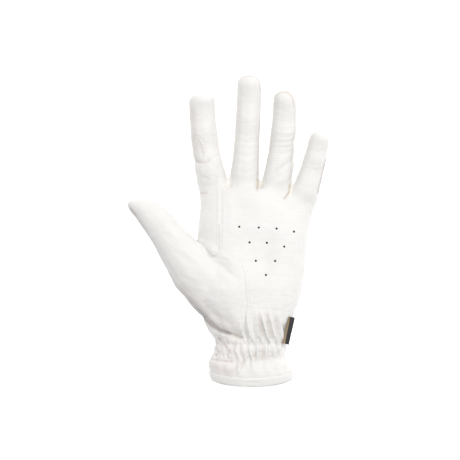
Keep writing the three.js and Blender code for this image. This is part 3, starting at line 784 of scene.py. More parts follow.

# Brownish tints on the fingertip seams, the patch's upper seam, a ridge of the cuff, the red seam,
# the pink panel and the smocked panel's spots at the wrist, a corner of the hem and along the
# forefinger's outer side; with painted shade in the forefinger's creases, in the valleys of the
# wrist's and cuff's gathers, under and beside the thenar's overhang, under the patch's end, at the
# thumb's tip, along the little finger's outer edge and where the fingers meet.
TINT_AND_PAINTED_SHADE_PLACES = (
    (((193, 112), (193.5, 134), (196, 160)), 3.0, 0.16),
    (((196, 161), (204, 163.5), (209, 162)), 1.0, 0.3),
    (((200, 194), (207, 194)), 0.8, 0.3),
    (((204, 318), (213, 326), (221, 331), (229, 333), (241, 337)), 1.4, 0.55),
    (((184, 292), (205, 311), (236, 327)), 5.0, 0.14),
    (((237.6, 84), (240, 78), (248, 76.8), (256, 77.6), (259.4, 82), (260.4, 92)), 0.6, 0.36),
    (((272.6, 103), (275, 96.4), (281, 92.8), (288, 93), (292.4, 98), (294.4, 108)), 0.6, 0.45),
    (((204, 176), (210, 180)), 0.7, 0.25),
    (((191, 110), (192.5, 125), (195, 138)), 2.2, 0.16),
    (((193, 136.5), (199, 140), (202.5, 147), (204, 156)), 0.6, 0.45),
    (((259, 316), (262, 333)), 1.8, 0.22),
    (((267, 316), (271, 336)), 1.6, 0.22),
    (((275, 318), (279, 334)), 1.5, 0.15),
    (((236.5, 341), (235.2, 350), (240.5, 361), (236.5, 367.5)), 0.8, 0.22),
    (((240.5, 345), (240, 352), (244, 360), (241, 368)), 0.7, 0.35),
    (((254, 345), (254.6, 353), (254.4, 361)), 0.6, 0.3),
    (((262, 345), (262, 353), (261.6, 359)), 0.6, 0.3),
    (((278, 345), (279, 353), (280, 359)), 0.6, 0.25),
    (((216, 360), (224, 360.6), (232, 361)), 0.7, 0.55),
    (((214, 366), (230, 371)), 3.0, 0.2),
    (((213, 381), (216, 383)), 1.0, 0.2),
    (((257.5, 180), (258, 186), (257, 191)), 0.8, 0.5),
    (((290, 186), (289, 193), (284.5, 199)), 0.9, 0.62),
    (((131, 210), (137, 217)), 0.8, 0.3),
    (((325.5, 160), (322, 175), (317.5, 190)), 0.7, 0.16),
    (((208.5, 256.4), (211, 257.6), (215, 257.2)), 0.5, 0.3),
    (((218.6, 338), (220.6, 340)), 0.8, 0.8),
    (((224, 343.5), (226.6, 347)), 0.6, 0.6),
    (((229, 350), (231, 353)), 0.6, 0.4),
    (((217.6, 349), (219.4, 352)), 0.6, 0.4),
)


@dataclass(frozen=True)
class Slope:
    """A stretch of leather that is eased down from the palm into the fingers.

    Attributes:
        line: Its corners on the plan grid.
        reach: Its reach in millimetres.
        turns: How many times it is eased.
        steps: How many steps each of those takes.
    """

    line: Line
    reach: float
    turns: int
    steps: int


SLOPES = (
    Slope(((218.5, 165), (219.6, 190), (219.6, 225), (219, 246)), 2.6, 2, 40),
    Slope(((206, 189), (228, 188), (262, 189), (276, 194), (291, 203), (312, 209)), 6.5, 3, 45),
)
# The thumb's crotch, where the seam is soft, and two corners of the smocked panel.
CROTCH = ((206, 252), (226, 258), (246, 264))
SMOCKING = ((211, 360), (234, 340))
# How far round the sides a change reaches that is meant for the palm's flat face alone.
FLAT_WRAP = -0.2


@dataclass
class Folding:
    """Presses folds, gathers and wrinkles into the skin before it is cut.

    Attributes:
        skin: The skin.
        slack: Height of the leather's broad unevenness.
        crease: Depth of its finer creases.
        cuff_row: The row of the plan grid below which the creases fade.
        valley: How deep the seams lie, in millimetres.
        lip: How high the leather stands beside them, in millimetres.
        dip: How deep the leather is pressed in round a perforation.
        border: Half the width of the smocked panel's soft border.
        sway: How far its rows wander.
        row_pitch: Distance between its rows.
        pucker_pitch: Distance between its puckers.
    """

    skin: GloveSkin
    slack: float = 0.34 * MM
    crease: float = 0.24 * MM
    cuff_row: float = 312
    valley: float = 0.22
    lip: float = 0.14
    dip: float = 0.28 * MM
    border: float = 1.5 * MM
    sway: float = 2.3 * MM
    row_pitch: float = 4.1 * MM
    pucker_pitch: float = 3.9 * MM

    def facing(self, wrap: float) -> Array:
        """Says how much each vertex faces up, from 0 to 1, with a greater wrap taking in more."""
        return smooth_step(-0.1 - 0.9 * wrap, 0.45 - 0.6 * wrap, self.skin.normals[:, 2])

    def near(self, line: Line, reach: float) -> Array:
        """Says how near each vertex is to a line on the plan grid, by a reach in millimetres."""
        gap, _ = along_line(self.skin.points[:, :2], on_plan(line))
        return bell(gap, reach * MM)

    def press(self, folds: tuple[Fold, ...]) -> None:
        """Moves the skin along its normals by each fold."""
        places = self.skin.points[:, :2]
        moved = np.zeros(len(places))
        for fold in folds:
            gap, share = along_line(places, on_plan(fold.line))
            taper = np.sin(math.pi * np.clip(share, 0.03, 0.97)) ** 0.5
            depth = fold.rise * MM * bell(gap, fold.width * MM)
            moved += depth * taper * self.facing(fold.wrap)
        self.skin.move(moved)

    def swell(self, swells: tuple[Swell, ...]) -> None:
        """Raises or sinks the skin round each swell's middle."""
        moved = np.zeros(len(self.skin.points))
        for bump in swells:
            offset = self.skin.points[:, :2] - on_plan((bump.place,))
            gap = np.linalg.norm(offset / (np.array(bump.reach) * MM), axis=1)
            moved += bump.rise * MM * bell(gap, 1) * self.facing(0.6)
        self.skin.move(moved)

    def crumple(self) -> None:
        """Adds the slack leather's soft unevenness all over."""
        points = self.skin.points
        broad = noise_field(points, (70, 55, 70), 3.7)
        creased = 1 - np.abs(noise_field(points, (90, 210, 120), 11.3)) * 2.6
        cuff = on_plan(((0, self.cuff_row),))[0, 1]
        lively = 0.55 + 0.45 * smooth_step(cuff + 0.02, cuff, points[:, 1])
        self.skin.move(self.slack * broad - self.crease * np.clip(creased, 0, 1) ** 2 * lively)

    def sew(self) -> None:
        """Draws every seam in, so that the leather stands up on both sides of it."""
        seams = self.skin.gap_to(self.skin.borders()) / MM
        pucker = noise_field(self.skin.points, (420, 420, 420), 5.1)
        soft = 1 - 0.8 * self.near(CROTCH, 6) * self.facing(FLAT_WRAP)
        lip = (self.lip + 0.1 * pucker) * bell(seams - 1.9, 0.9)
        self.skin.move(soft * (lip - self.valley * bell(seams, 0.7)) * MM)

    def fill_roots(self) -> None:
        """Eases the palm down into the fingers."""
        for slope in SLOPES:
            for _ in range(slope.turns):
                weight = self.near(slope.line, slope.reach) * self.facing(FLAT_WRAP)
                for _ in range(slope.steps):
                    points = self.skin.points
                    mean = neighbour_mean(points, self.skin.edges, len(points))
                    points += (0.6 * weight)[:, None] * (mean - points)
                self.skin.commit()

    def press_eyelets(self) -> None:
        """Presses the leather in round each perforation."""
        moved = np.zeros(len(self.skin.points))
        for eyelet in self.skin.eyelets:
            gap = np.linalg.norm(self.skin.points[:, :2] - on_plan((eyelet,)), axis=1)
            moved -= self.dip * bell(gap, self.skin.plug_ring) * self.facing(0.0)
        self.skin.move(moved)

    def paint(self) -> None:
        """Stores on the skin which way its ribs run, how lively they are, where it is tinted and
        where shade is painted.
        """
        points, mesh = self.skin.points, self.skin.body.data
        x, y, z = points.T / MM
        thumb = [SHELL_PANELS.index(panel) for panel in THUMB_PANELS]
        sides = read_rows(mesh.polygons, "loop_total", 1, np.int64)[:, 0]
        corner = read_rows(mesh.loops, "vertex_index", 1, np.int64)[:, 0]
        on_thumb = np.zeros(len(points))
        on_thumb[corner[np.repeat(np.isin(self.skin.labels, thumb), sides)]] = 1
        warp = 0.9 * noise_field(points, (40, 60, 40), 21.0)
        rib = np.where(on_thumb > 0, 0.38 * x + 1.1 * y, y + 0.04 * x) + 0.2 * z + warp
        joints = np.max([self.near(line, reach) for line, reach in RIBBED_PLACES], axis=0)
        values = {
            "rib": rib,
            "lively": 0.5 + 0.5 * joints,
            "tint_and_painted_shade": self.tint_and_shade_strength(TINT_AND_PAINTED_SHADE_PLACES, 0.5),
            "shade": self.tint_and_shade_strength(SHADED_PLACES, 0.05),
            "crossed": on_thumb,
        }
        for name, value in values.items():
            layer = mesh.attributes.new(name, "FLOAT", "POINT")
            layer.data.foreach_set("value", value.astype(np.float32))

    def tint_and_shade_strength(self, places: tuple[TintAndShadeLine, ...], wrap: float) -> Array:
        """Says how strongly each vertex is coloured by the strongest of some lines of tint and
        painted shade, fading where the skin turns away from the top.
        """
        amounts = [strength * self.near(line, reach) for line, reach, strength in places]
        return np.max(amounts, axis=0) * self.facing(wrap)

    def smock(self) -> None:
        """Puckers the elasticated panel at the thumb's side of the wrist."""
        points = self.skin.points
        low, high = on_plan(SMOCKING)
        x, y = points[:, 0], points[:, 1]
        soft = self.border
        inside = 0.8 + 0.9 * noise_field(points, (260, 260, 260), 14.0)
        inside *= smooth_step(low[0] - 4 * MM, low[0], x)
        inside *= smooth_step(high[0] + soft, high[0] - soft, x)
        inside *= smooth_step(low[1] - soft, low[1] + soft, y)
        inside *= smooth_step(high[1] + soft, high[1] - soft, y)
        sway = self.sway * noise_field(points, (190, 190, 190), 8.8)
        rows = np.sin((y + sway) * 2 * math.pi / self.row_pitch)
        puckers = np.sin((x + 0.6 * points[:, 2] + 2 * sway) * 2 * math.pi / self.pucker_pitch)
        height = 0.45 * np.abs(rows) - 0.5 + 0.62 * puckers * (0.5 + 0.5 * rows)
        self.skin.move(MM * inside * height * self.facing(0.9))

    def settle(self) -> None:
        """Flattens what would reach below the surface that the glove lies on."""
        self.skin.points[:, 2] = np.maximum(self.skin.points[:, 2], 0.0)
        self.skin.commit()

    def shape(self) -> None:
        """Does all of it in order."""
        self.fill_roots()
        self.swell(SWELLS)
        for folds in (PALM_FOLDS, FINGER_FOLDS, WRIST_RIDGES, CUFF_RIDGES, ELASTIC_ROWS, PINCHES):
            self.press(folds)
        self.crumple()
        self.smock()
        self.sew()
        self.press_eyelets()
        self.settle()
        self.paint()


# Finishes.


def new_group(
    name: str, inputs: dict[str, float], outputs: tuple[str, ...]
) -> bpy.types.ShaderNodeTree:
    """Makes an empty shader node group.

    Args:
        name: The group's name.
        inputs: Each number that it takes, with its usual value.
        outputs: Each number that it puts out.

    Returns:
        The group, holding its input and output nodes.
    """
    group = bpy.data.node_groups.new(name, "ShaderNodeTree")
    for label, value in inputs.items():
        socket = group.interface.new_socket(label, in_out="INPUT", socket_type="NodeSocketFloat")
        socket.default_value = value
    for label in outputs:
        group.interface.new_socket(label, in_out="OUTPUT", socket_type="NodeSocketFloat")
    group.nodes.new("NodeGroupInput")
    group.nodes.new("NodeGroupOutput")
    return group


@dataclass
class NodeBench:
    """Adds and joins the nodes of one tree."""

    tree: bpy.types.ShaderNodeTree

    def add(self, kind: str, **settings: object) -> bpy.types.ShaderNode:
        """Adds a node and sets its properties."""
        node = self.tree.nodes.new(kind)
        for name, value in settings.items():
            setattr(node, name, value)
        return node

    def join(self, source: bpy.types.NodeSocket, target: bpy.types.NodeSocket) -> None:
        """Leads one socket into another."""
        self.tree.links.new(source, target)

    def feed(
        self, target: bpy.types.NodeSocket, value: bpy.types.NodeSocket | float | Colour
    ) -> None:
        """Leads a socket into a target, or sets the target's number or colour."""
        if isinstance(value, bpy.types.NodeSocket):
            self.join(value, target)
        else:
            target.default_value = (*value, 1) if isinstance(value, tuple) else value

    def math(
        self,
        operation: str,
        a: bpy.types.NodeSocket | float,
        b: bpy.types.NodeSocket | float = 0.0,
        c: bpy.types.NodeSocket | float = 0.0,
    ) -> bpy.types.NodeSocket:
        """Adds a calculation on up to three values and gives its result."""
        node = self.add("ShaderNodeMath", operation=operation)
        for socket, value in zip(node.inputs, (a, b, c)):
            self.feed(socket, value)
        return node.outputs[0]

    def attribute(self, name: str) -> bpy.types.NodeSocket:
        """Reads a number that is stored on the mesh."""
        return self.add("ShaderNodeAttribute", attribute_name=name).outputs["Fac"]

    def noise(self, scale: float, detail: float = 2.0) -> bpy.types.NodeSocket:
        """Adds noise over the piece's own place, at so many bumps a metre."""
        cloud = self.add("ShaderNodeTexNoise")
        cloud.inputs["Scale"].default_value = scale
        cloud.inputs["Detail"].default_value = detail
        self.join(self.place(), cloud.inputs["Vector"])
        return cloud.outputs["Fac"]

    def place(self) -> bpy.types.NodeSocket:
        """Gives the place on the piece, in metres."""
        return self.add("ShaderNodeTexCoord").outputs["Object"]

    def mix(
        self,
        share: bpy.types.NodeSocket,
        first: bpy.types.NodeSocket | Colour,
        second: bpy.types.NodeSocket | Colour,
    ) -> bpy.types.NodeSocket:
        """Mixes two colours, with more of the second where the share is greater."""
        node = self.add("ShaderNodeMix", data_type="RGBA", clamp_factor=True)
        for label, value in (("Factor", share), ("A", first), ("B", second)):
            self.feed(node.inputs[label], value)
        return node.outputs["Result"]

    def emboss(self, height: bpy.types.NodeSocket, depth: float) -> bpy.types.NodeSocket:
        """Turns a height into normals, with its depth in millimetres."""
        node = self.add("ShaderNodeBump")
        node.inputs["Strength"].default_value = 1.0
        node.inputs["Distance"].default_value = depth * MM
        self.join(height, node.inputs["Height"])
        return node.outputs["Normal"]


def new_material(name: str) -> tuple[bpy.types.Material, NodeBench, bpy.types.ShaderNode]:
    """Makes a material.

    Returns:
        The material, a bench over its nodes, and its shader.
    """
    material = bpy.data.materials.new(name)
    material.use_nodes = True
    return material, NodeBench(material.node_tree), material.node_tree.nodes["Principled BSDF"]


def rib_group() -> bpy.types.ShaderNodeTree:
    """Builds the fine embossed ribs and pebbles of the leather, which every leather piece uses."""
    group = new_group(
        "embossed_ribs",
        {"Spacing": 1.75, "Rib Depth": 1.0, "Pebble Depth": 0.35},
        ("Height", "Furrow"),
    )
    bench = NodeBench(group)
    given = group.nodes["Group Input"].outputs
    result = group.nodes["Group Output"].inputs
    sway = bench.math("MULTIPLY_ADD", bench.noise(150.0), 1.1, -0.55)
    phase = bench.math("DIVIDE", bench.math("ADD", bench.attribute("rib"), sway), given["Spacing"])
    wave = bench.math("SINE", bench.math("MULTIPLY", phase, 2 * math.pi))
    broken = bench.math("MULTIPLY_ADD", bench.noise(420.0), 1.5, -0.25)
    crossing = bench.math("MULTIPLY_ADD", phase, 9.1, bench.math("MULTIPLY", sway, 7.0))
    crossed = bench.math("MULTIPLY", bench.math("SINE", crossing), bench.attribute("crossed"))
    strength = bench.math("MULTIPLY", bench.attribute("lively"), broken)
    rib = bench.math("MULTIPLY", bench.math("MULTIPLY_ADD", crossed, 0.35, wave), strength)
    rib = bench.math("MULTIPLY", rib, given["Rib Depth"])
    cells = bench.add("ShaderNodeTexVoronoi", feature="SMOOTH_F1")
    cells.inputs["Scale"].default_value = 1500.0
    bench.join(bench.place(), cells.inputs["Vector"])
    pebble = bench.math("MULTIPLY", cells.outputs["Distance"], given["Pebble Depth"])
    bench.join(bench.math("SUBTRACT", rib, pebble), result["Height"])
    # The furrow is the depth of a rib's trough, which the leather finishes darken as painted shade.
    furrow = bench.math("MAXIMUM", bench.math("MULTIPLY", rib, -1.0), 0.0)
    bench.join(furrow, result["Furrow"])
    return group


@dataclass(frozen=True)
class LeatherFinish:
    """Synthetic leather, embossed with fine ribs.

    Attributes:
        name: The material's name.
        light: Its colour on the ribs.
        dark: Its colour where it is tinted, where shade is painted into its creases, folds and rib
            furrows, and where its tone is uneven.
        furrow: How much darker its rib furrows are painted as shade, from 0 to 1.
        rib_depth: Strength of the ribs.
        bump: Height of the whole relief in millimetres.
        roughness: Its roughness.
        sheen: Its sheen.
        shadow: The grey of the shade painted along its edges and under overhangs.
    """

    name: str
    light: Colour
    dark: Colour
    furrow: float
    rib_depth: float
    bump: float
    roughness: float
    sheen: float = 0.0
    shadow: Colour = (0.3, 0.275, 0.29)

    def build(self, ribs: bpy.types.ShaderNodeTree) -> bpy.types.Material:
        """Builds the material, with the node group of the ribs."""
        material, bench, shader = new_material(self.name)
        relief = bench.add("ShaderNodeGroup", node_tree=ribs)
        relief.inputs["Rib Depth"].default_value = self.rib_depth
        cloud = bench.noise(55.0, 4.0)
        # Noise makes the tints, and the shade painted with them, uneven.
        patchiness = bench.math("MULTIPLY_ADD", cloud, 0.6, 0.6)
        tint_and_painted_shade = bench.math("MULTIPLY", bench.attribute("tint_and_painted_shade"), patchiness)
        # Painted shade in the furrows of the ribs.
        shade = bench.math("MULTIPLY", relief.outputs["Furrow"], self.furrow)
        faint = bench.math("MULTIPLY_ADD", cloud, 0.22, -0.06)
        amount = bench.math("ADD", bench.math("ADD", tint_and_painted_shade, shade), faint)
        # Painted shade from the shade lines, which turns the colour towards the shadow grey.
        painted_shade = bench.math("MULTIPLY", bench.attribute("shade"), 0.8)
        colour = bench.mix(painted_shade, bench.mix(amount, self.light, self.dark), self.shadow)
        bench.join(colour, shader.inputs["Base Color"])
        rough = bench.math("MULTIPLY_ADD", cloud, 0.14, self.roughness - 0.07)
        bench.join(rough, shader.inputs["Roughness"])
        bench.join(bench.emboss(relief.outputs["Height"], self.bump), shader.inputs["Normal"])
        shader.inputs["Sheen Weight"].default_value = self.sheen
        shader.inputs["Specular IOR Level"].default_value = 0.35
        return material


@dataclass(frozen=True)
class WovenFinish:
    """A plain woven or knitted face, such as the tag's ribbon or the lining.

    Attributes:
        name: The material's name.
        warp: Colour of the threads along it.
        weft: Colour between them.
        threads: Threads a metre.
        bump: Height of the threads in millimetres.
        roughness: Its roughness.
    """

    name: str
    warp: Colour
    weft: Colour
    threads: float
    bump: float
    roughness: float

    def build(self) -> bpy.types.Material:
        """Builds the material."""
        material, bench, shader = new_material(self.name)
        parts = bench.add("ShaderNodeSeparateXYZ")
        bench.join(bench.place(), parts.inputs[0])
        turn = 2 * math.pi * self.threads
        across = bench.math("SINE", bench.math("MULTIPLY", parts.outputs["X"], turn))
        along = bench.math("SINE", bench.math("MULTIPLY", parts.outputs["Y"], turn))
        weave = bench.math("MULTIPLY_ADD", bench.math("MULTIPLY", across, along), 0.5, 0.5)
        fuzz = bench.math("MULTIPLY_ADD", bench.noise(900.0), 0.5, -0.25)
        amount = bench.math("ADD", weave, fuzz)
        bench.join(bench.mix(amount, self.weft, self.warp), shader.inputs["Base Color"])
        shader.inputs["Roughness"].default_value = self.roughness
        bench.join(bench.emboss(amount, self.bump), shader.inputs["Normal"])
        return material


WHITE = LeatherFinish(
    "white_leather", (0.84, 0.832, 0.815), (0.5, 0.38, 0.31), 0.06, 1.0, 0.085, 0.6
)
CREAM = LeatherFinish(
    "cream_suede", (0.84, 0.828, 0.8), (0.4, 0.27, 0.12), 0.2, 0.4, 0.12, 0.85, 0.3
)
BLUSH = LeatherFinish(
    "blush_knit", (0.84, 0.822, 0.81), (0.5, 0.35, 0.31), 0.2, 0.9, 0.1, 0.75, 0.2
)
LINING = WovenFinish("lining_knit", (0.72, 0.71, 0.69), (0.55, 0.54, 0.52), 700.0, 0.1, 0.9)
RIBBON = WovenFinish("black_ribbon", (0.022, 0.02, 0.019), (0.006, 0.006, 0.006), 900.0, 0.06, 0.7)
BRONZE = WovenFinish("bronze_thread", (0.42, 0.31, 0.19), (0.2, 0.14, 0.08), 900.0, 0.06, 0.5)
THREAD = WovenFinish("sewing_thread", (0.84, 0.83, 0.81), (0.72, 0.7, 0.68), 1800.0, 0.05, 0.55)


# Dressing the glove.


@dataclass(frozen=True)
class Wall:
    """How a panel that is cut from the skin is thickened.

    Attributes:
        thickness: Its thickness.
        lift: How far the panel is raised off the skin.
        side: On which side of the skin the wall lies, 1 for outside and -1 for inside.
        bevel: Width of its rounded edges.
        segments: How many faces round off an edge.
        lined: Whether its inner face is the lining.
    """

    thickness: float
    lift: float = 0.0
    side: float = -1.0
    bevel: float = 0.0
    segments: int = 2
    lined: bool = False


PATCH_WALL = Wall(0.32 * MM, 0.12 * MM, 1.0, 0.14 * MM, 2)
HEM_WALL = Wall(2.0 * MM, 0.35 * MM, -1.0, 0.55 * MM, 3)
LEATHER_WALL = Wall(1.15 * MM, lined=True)


@dataclass
class LeatherPanels:
    """Every panel that is cut from the skin.

    Attributes:
        skin: The skin.
        hole: Radius of a perforation.
        drill: Length of the cylinder that cuts it.
    """

    skin: GloveSkin
    hole: float = 0.82 * MM
    drill: float = 6 * MM

    def build(self) -> None:
        """Cuts, thickens and dresses each panel."""
        ribs = rib_group()
        white, cream, blush = (finish.build(ribs) for finish in (WHITE, CREAM, BLUSH))
        lining = LINING.build()
        looks = {panel: (white, Slot.LEATHER) for panel in (*SHELL_PANELS, Panel.PATCH)}
        looks |= {panel: (cream, Slot.STRIP) for panel in STRIPS}
        looks[Panel.WRIST_SIDE] = (blush, Slot.SMOCKED)
        walls = {Panel.PATCH: PATCH_WALL, Panel.HEM: HEM_WALL}
        for panel, (look, slot) in looks.items():
            piece = self.skin.cut(panel)
            piece.data.materials.append(look)
            piece.data.materials.append(lining)
            self.thicken(piece, walls.get(panel, LEATHER_WALL))
            points = read_points(piece.data)
            points[:, 2] = np.maximum(points[:, 2], 0.0)
            write_points(piece.data, points)
            if panel is Panel.PALM:
                self.punch(piece)
            pick(piece)
            bpy.ops.object.shade_smooth_by_angle(angle=SHARP)
            dress(piece, panel)

    def thicken(self, piece: bpy.types.Object, wall: Wall) -> None:
        """Gives a cut panel its wall."""
        if wall.lift:
            apply_modifier(piece, "DISPLACE", strength=wall.lift, mid_level=0.0)
        sides = {"offset": wall.side, "material_offset": int(wall.lined)}
        apply_modifier(piece, "SOLIDIFY", thickness=wall.thickness, **sides)
        if wall.bevel:
            bevel = {"width": wall.bevel, "segments": wall.segments}
            apply_modifier(piece, "BEVEL", **bevel, limit_method="ANGLE", angle_limit=SHARP)

    def punch(self, piece: bpy.types.Object) -> None:
        """Cuts the perforations through the palm."""
        tree = tree_of(piece.data)
        drills = []
        for x, y in on_plan(self.skin.eyelets):
            height = hit_below(tree, x, y)[0].z
            drills.append(add_cylinder(20, self.hole, self.drill, (x, y, height)))
        drill = join_all(drills)
        apply_modifier(piece, "BOOLEAN", operation="DIFFERENCE", object=drill, solver="EXACT")
        bpy.data.objects.remove(drill)


def dress(piece: bpy.types.Object, panel: Panel) -> None:
    """Names a finished piece, attaches it to the root body and hides the solid that it stands for.
    """
    piece.name = panel.value + "_piece"
    piece.data.name = piece.name
    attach(piece, "root")
    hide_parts(panel.value)
    log.info("%s: %d faces", piece.name, len(piece.data.polygons))


@dataclass
class SideTag:
    """The small folded ribbon in the little-finger side, left blank.

    Attributes:
        narrowing: Its width as a share of its solid's.
        cuts: How many times each edge of its block is divided.
        twist: How far its free edge wanders up and down.
        bronze: Where its bronze edge starts, as a share of its width from the middle.
        slant: How much that changes along it.
    """

    narrowing: float = 0.86
    cuts: int = 22
    twist: float = 0.35 * MM
    bronze: float = 0.3
    slant: float = 0.22

    def build(self) -> None:
        """Models the tag as a folded loop, with a bronze edge along its fold."""
        solid = read_points(solid_mesh(Panel.LABEL))
        centred = solid - solid.mean(0)
        long, wide, _ = np.linalg.svd(centred, full_matrices=False)[2]
        long = -long if long[1] < 0 else long
        wide = -wide if wide[2] < 0 else wide
        axes = np.array([long, wide, np.cross(long, wide)])
        reach = centred @ axes.T
        sizes = np.ptp(reach, axis=0)
        middle = solid.mean(0) + (reach.max(0) + reach.min(0)) / 2 @ axes
        deselect_all()
        bpy.ops.mesh.primitive_cube_add(size=1)
        tag = bpy.context.object
        with editing(tag):
            bpy.ops.transform.resize(value=(sizes[0], self.narrowing * sizes[1], sizes[2]))
            bpy.ops.mesh.subdivide(number_cuts=self.cuts)
        points = read_points(tag.data)
        along = points[:, 0] / sizes[0]
        across = points[:, 1] / sizes[1] + 0.5
        fold = 0.55 + 0.45 * np.sqrt(np.clip(1 - (2 * across - 1) ** 6, 0, 1))
        points[:, 2] *= fold * (1 + 0.1 * np.sin(9 * along))
        points[:, 2] += self.twist * np.sin(2.6 * along + 0.6) * across
        points[:, 0] *= 1 - 0.04 * across
        write_points(tag.data, points @ axes + middle)
        with editing(tag):
            bpy.ops.mesh.normals_make_consistent(inside=False)
        tag.data.materials.append(RIBBON.build())
        tag.data.materials.append(BRONZE.build())
        for face in tag.data.polygons:
            place = np.array(face.center) - middle
            leftward = place @ wide * -math.copysign(1, wide[0])
            if leftward > (self.bronze + self.slant * place @ long / sizes[0]) * sizes[1]:
                face.material_index = 1
        bpy.ops.object.shade_smooth_by_angle(angle=SHARP)
        dress(tag, Panel.LABEL)


@dataclass(frozen=True)
class StitchRow:
    """A row of stitches.

    Attributes:
        name: The row's name.
        line: Its corners on the plan grid.
        pitch: Distance from stitch to stitch in millimetres.
    """

    name: str
    line: Line
    pitch: float = 2.3


STITCH_ROWS = (
    StitchRow(
        "thumb_seam_stitches", ((242.5, 265), (245.8, 275), (246.6, 290), (247.4, 304), (247, 316))
    ),
    StitchRow("thumb_seam_outer_stitches", ((247.6, 270), (249, 286), (249.8, 300), (249.6, 314))),
    StitchRow(
        "patch_stitches",
        (
            *((216.5, 176), (217.2, 190), (217.4, 220), (217.2, 240)),
            *((216.2, 248), (213.6, 253), (210.6, 252.6)),
        ),
    ),
    StitchRow("patch_top_stitches", ((191, 139), (197, 141), (200.4, 146), (201.8, 154))),
    StitchRow(
        "hem_stitches",
        ((212, 374.5), (222, 377.5), (240, 379), (262, 379), (280, 377.5), (291, 374.5)),
        2.6,
    ),
)


@dataclass
class Stitching:
    """The rows of stitches, laid on the leather after it is folded.

    Attributes:
        ground: Search trees over what they are laid on.
        length: Length of a stitch.
        radius: Half its height.
        flatness: How much wider than high it is.
        ahead: How far ahead the row's direction is read.
        raised: How far it stands off the leather, as a share of its radius.
    """

    ground: list[BVHTree]
    length: float = 1.55 * MM
    radius: float = 0.2 * MM
    flatness: float = 1.3
    ahead: float = 0.3 * MM
    raised: float = 0.35

    def model(self) -> bpy.types.Object:
        """Models one stitch as a short rounded bar."""
        deselect_all()
        bpy.ops.mesh.primitive_uv_sphere_add(segments=8, ring_count=5, radius=1)
        stitch = bpy.context.object
        with editing(stitch):
            size = (self.length / 2, self.radius * self.flatness, self.radius)
            bpy.ops.transform.resize(value=size)
        return stitch

    def lay(self, row: StitchRow, look: bpy.types.Material) -> None:
        """Lays one row on the leather below it."""
        line = on_plan(row.line)
        steps = np.linalg.norm(np.diff(line, axis=0), axis=1)
        walked = np.concatenate([[0], np.cumsum(steps)])
        count = max(int(walked[-1] / (row.pitch * MM)), 2)
        stitch = self.model()
        copies = []
        for number in range(count):
            place = (number + 0.5) / count * walked[-1]
            x, y = (np.interp(place, walked, line[:, k]) for k in (0, 1))
            ahead = [np.interp(place + self.ahead, walked, line[:, k]) for k in (0, 1)]
            hits = [hit for hit in (hit_below(tree, x, y) for tree in self.ground) if hit[0]]
            way = Vector((ahead[0] - x, ahead[1] - y, 0))
            if not hits or way.length < 1e-9:
                continue
            spot, normal = max(hits, key=lambda hit: hit[0].z)[:2]
            way = (way - way.dot(normal) * normal).normalized()
            twin = copy_of(stitch, row.name)
            basis = np.array([way, normal.cross(way), normal])
            raised = np.array(spot + normal * self.radius * self.raised)
            write_points(twin.data, read_points(twin.data) @ basis + raised)
            copies.append(twin)
        bpy.data.objects.remove(stitch)
        seam = join_all(copies)
        seam.name = row.name
        seam.data.materials.append(look)
        pick(seam)
        bpy.ops.object.shade_smooth()
        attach(seam, "root")
        log.info("%s: %d stitches", seam.name, len(copies))

    def build(self) -> None:
        """Lays every row."""
        look = THREAD.build()
        for row in STITCH_ROWS:
            self.lay(row, look)


def build_glove() -> None:
    """Builds every piece in order."""
    skin = GloveSkin()
    skin.build()
    skin.open_mouth()
    skin.name_faces()
    skin.smooth_borders()
    Folding(skin).shape()
    LeatherPanels(skin).build()
    ground = [tree_of(skin.body.data)]
    for panel in (Panel.PATCH, Panel.HEM):
        ground.append(tree_of(bpy.data.objects[panel.value + "_piece"].data))
    bpy.data.objects.remove(skin.body)
    SideTag().build()
    Stitching(ground).build()


# Studio.


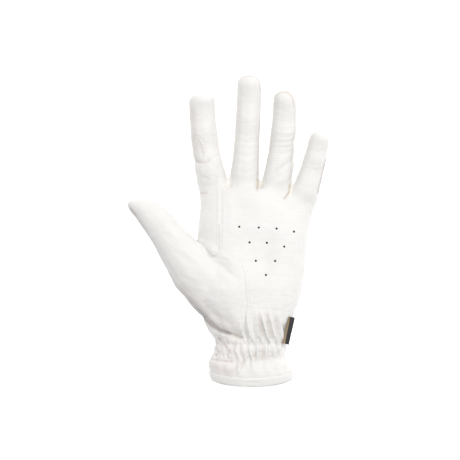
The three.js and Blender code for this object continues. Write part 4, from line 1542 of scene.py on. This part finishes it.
@dataclass
class Studio:
    """The floor, the lights and the camera.

    Attributes:
        camera_height: Height of the camera over the floor.
        span: Width of the picture.
        level: Height over the floor at which the picture is that wide.
        floor_size: Width of the floor.
        glow: How much the floor glows, so that it reads as pure white.
        sky: Where the room is brightest.
        dim: Strength of the room's light on the far side of that.
        bright: Strength of the room's light where it is brightest.
    """

    camera_height: float = 1.6
    span: float = GRID_CELLS * CELL
    level: float = 0.018
    floor_size: float = 6
    glow: float = 0.5
    sky: tuple[float, float, float] = (0.16, 0.26, 0.95)
    dim: float = 0.14
    bright: float = 1.085

    def build(self) -> None:
        """Places the floor, the lights and the camera over the glove."""
        deselect_all()
        bpy.ops.mesh.primitive_plane_add(size=self.floor_size)
        floor = bpy.context.object
        floor.name = "floor"
        paint, bench, shader = new_material("floor_paint")
        rough = bench.math("MULTIPLY_ADD", bench.noise(3.0), 0.1, 0.85)
        bench.join(rough, shader.inputs["Roughness"])
        bench.feed(shader.inputs["Base Color"], (0.97, 0.97, 0.97))
        bench.feed(shader.inputs["Emission Color"], (1.0, 1.0, 1.0))
        bench.feed(shader.inputs["Emission Strength"], self.glow)
        floor.data.materials.append(paint)
        self.surround()
        self.light("key", (0.3, 0.6, 1.3), 0.8, 8.0)
        aside = (GRID_CELLS / 2 - PLAN_COLUMN) * CELL
        bpy.ops.object.camera_add(location=(aside, 0, self.camera_height), rotation=(0, 0, 0))
        camera = bpy.context.object
        camera.data.lens_unit = "FOV"
        camera.data.angle = 2 * math.atan(self.span / 2 / (self.camera_height - self.level))
        bpy.context.scene.camera = camera
        bpy.context.scene.view_settings.view_transform = "Standard"

    def surround(self) -> None:
        """Makes the room brighter overhead and towards the far right than at the near left."""
        world = bpy.data.worlds.new("studio")
        world.use_nodes = True
        bench = NodeBench(world.node_tree)
        back = world.node_tree.nodes["Background"]
        towards = bench.add("ShaderNodeVectorMath", operation="DOT_PRODUCT")
        bench.join(bench.add("ShaderNodeTexCoord").outputs["Generated"], towards.inputs[0])
        towards.inputs[1].default_value = Vector(self.sky).normalized()
        spread = bench.add("ShaderNodeMapRange")
        bench.join(towards.outputs["Value"], spread.inputs["Value"])
        limits = {"From Min": -0.12, "From Max": 1.0, "To Min": self.dim, "To Max": self.bright}
        for label, value in limits.items():
            spread.inputs[label].default_value = value
        bench.join(spread.outputs["Result"], back.inputs["Strength"])
        back.inputs["Color"].default_value = (1, 1, 1, 1)
        bpy.context.scene.world = world

    def light(
        self, name: str, place: tuple[float, float, float], size: float, power: float
    ) -> None:
        """Adds a square lamp that looks at the glove."""
        bpy.ops.object.light_add(type="AREA", location=place)
        lamp = bpy.context.object
        lamp.name = name
        lamp.data.size = size
        lamp.data.energy = power
        lamp.rotation_euler = (-Vector(place)).to_track_quat("-Z", "Y").to_euler()


def main() -> None:
    """Builds the glove and the studio."""
    logging.basicConfig(level=logging.INFO, format="%(message)s")
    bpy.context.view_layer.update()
    build_glove()
    Studio().build()


if __name__ == "__main__":
    main()
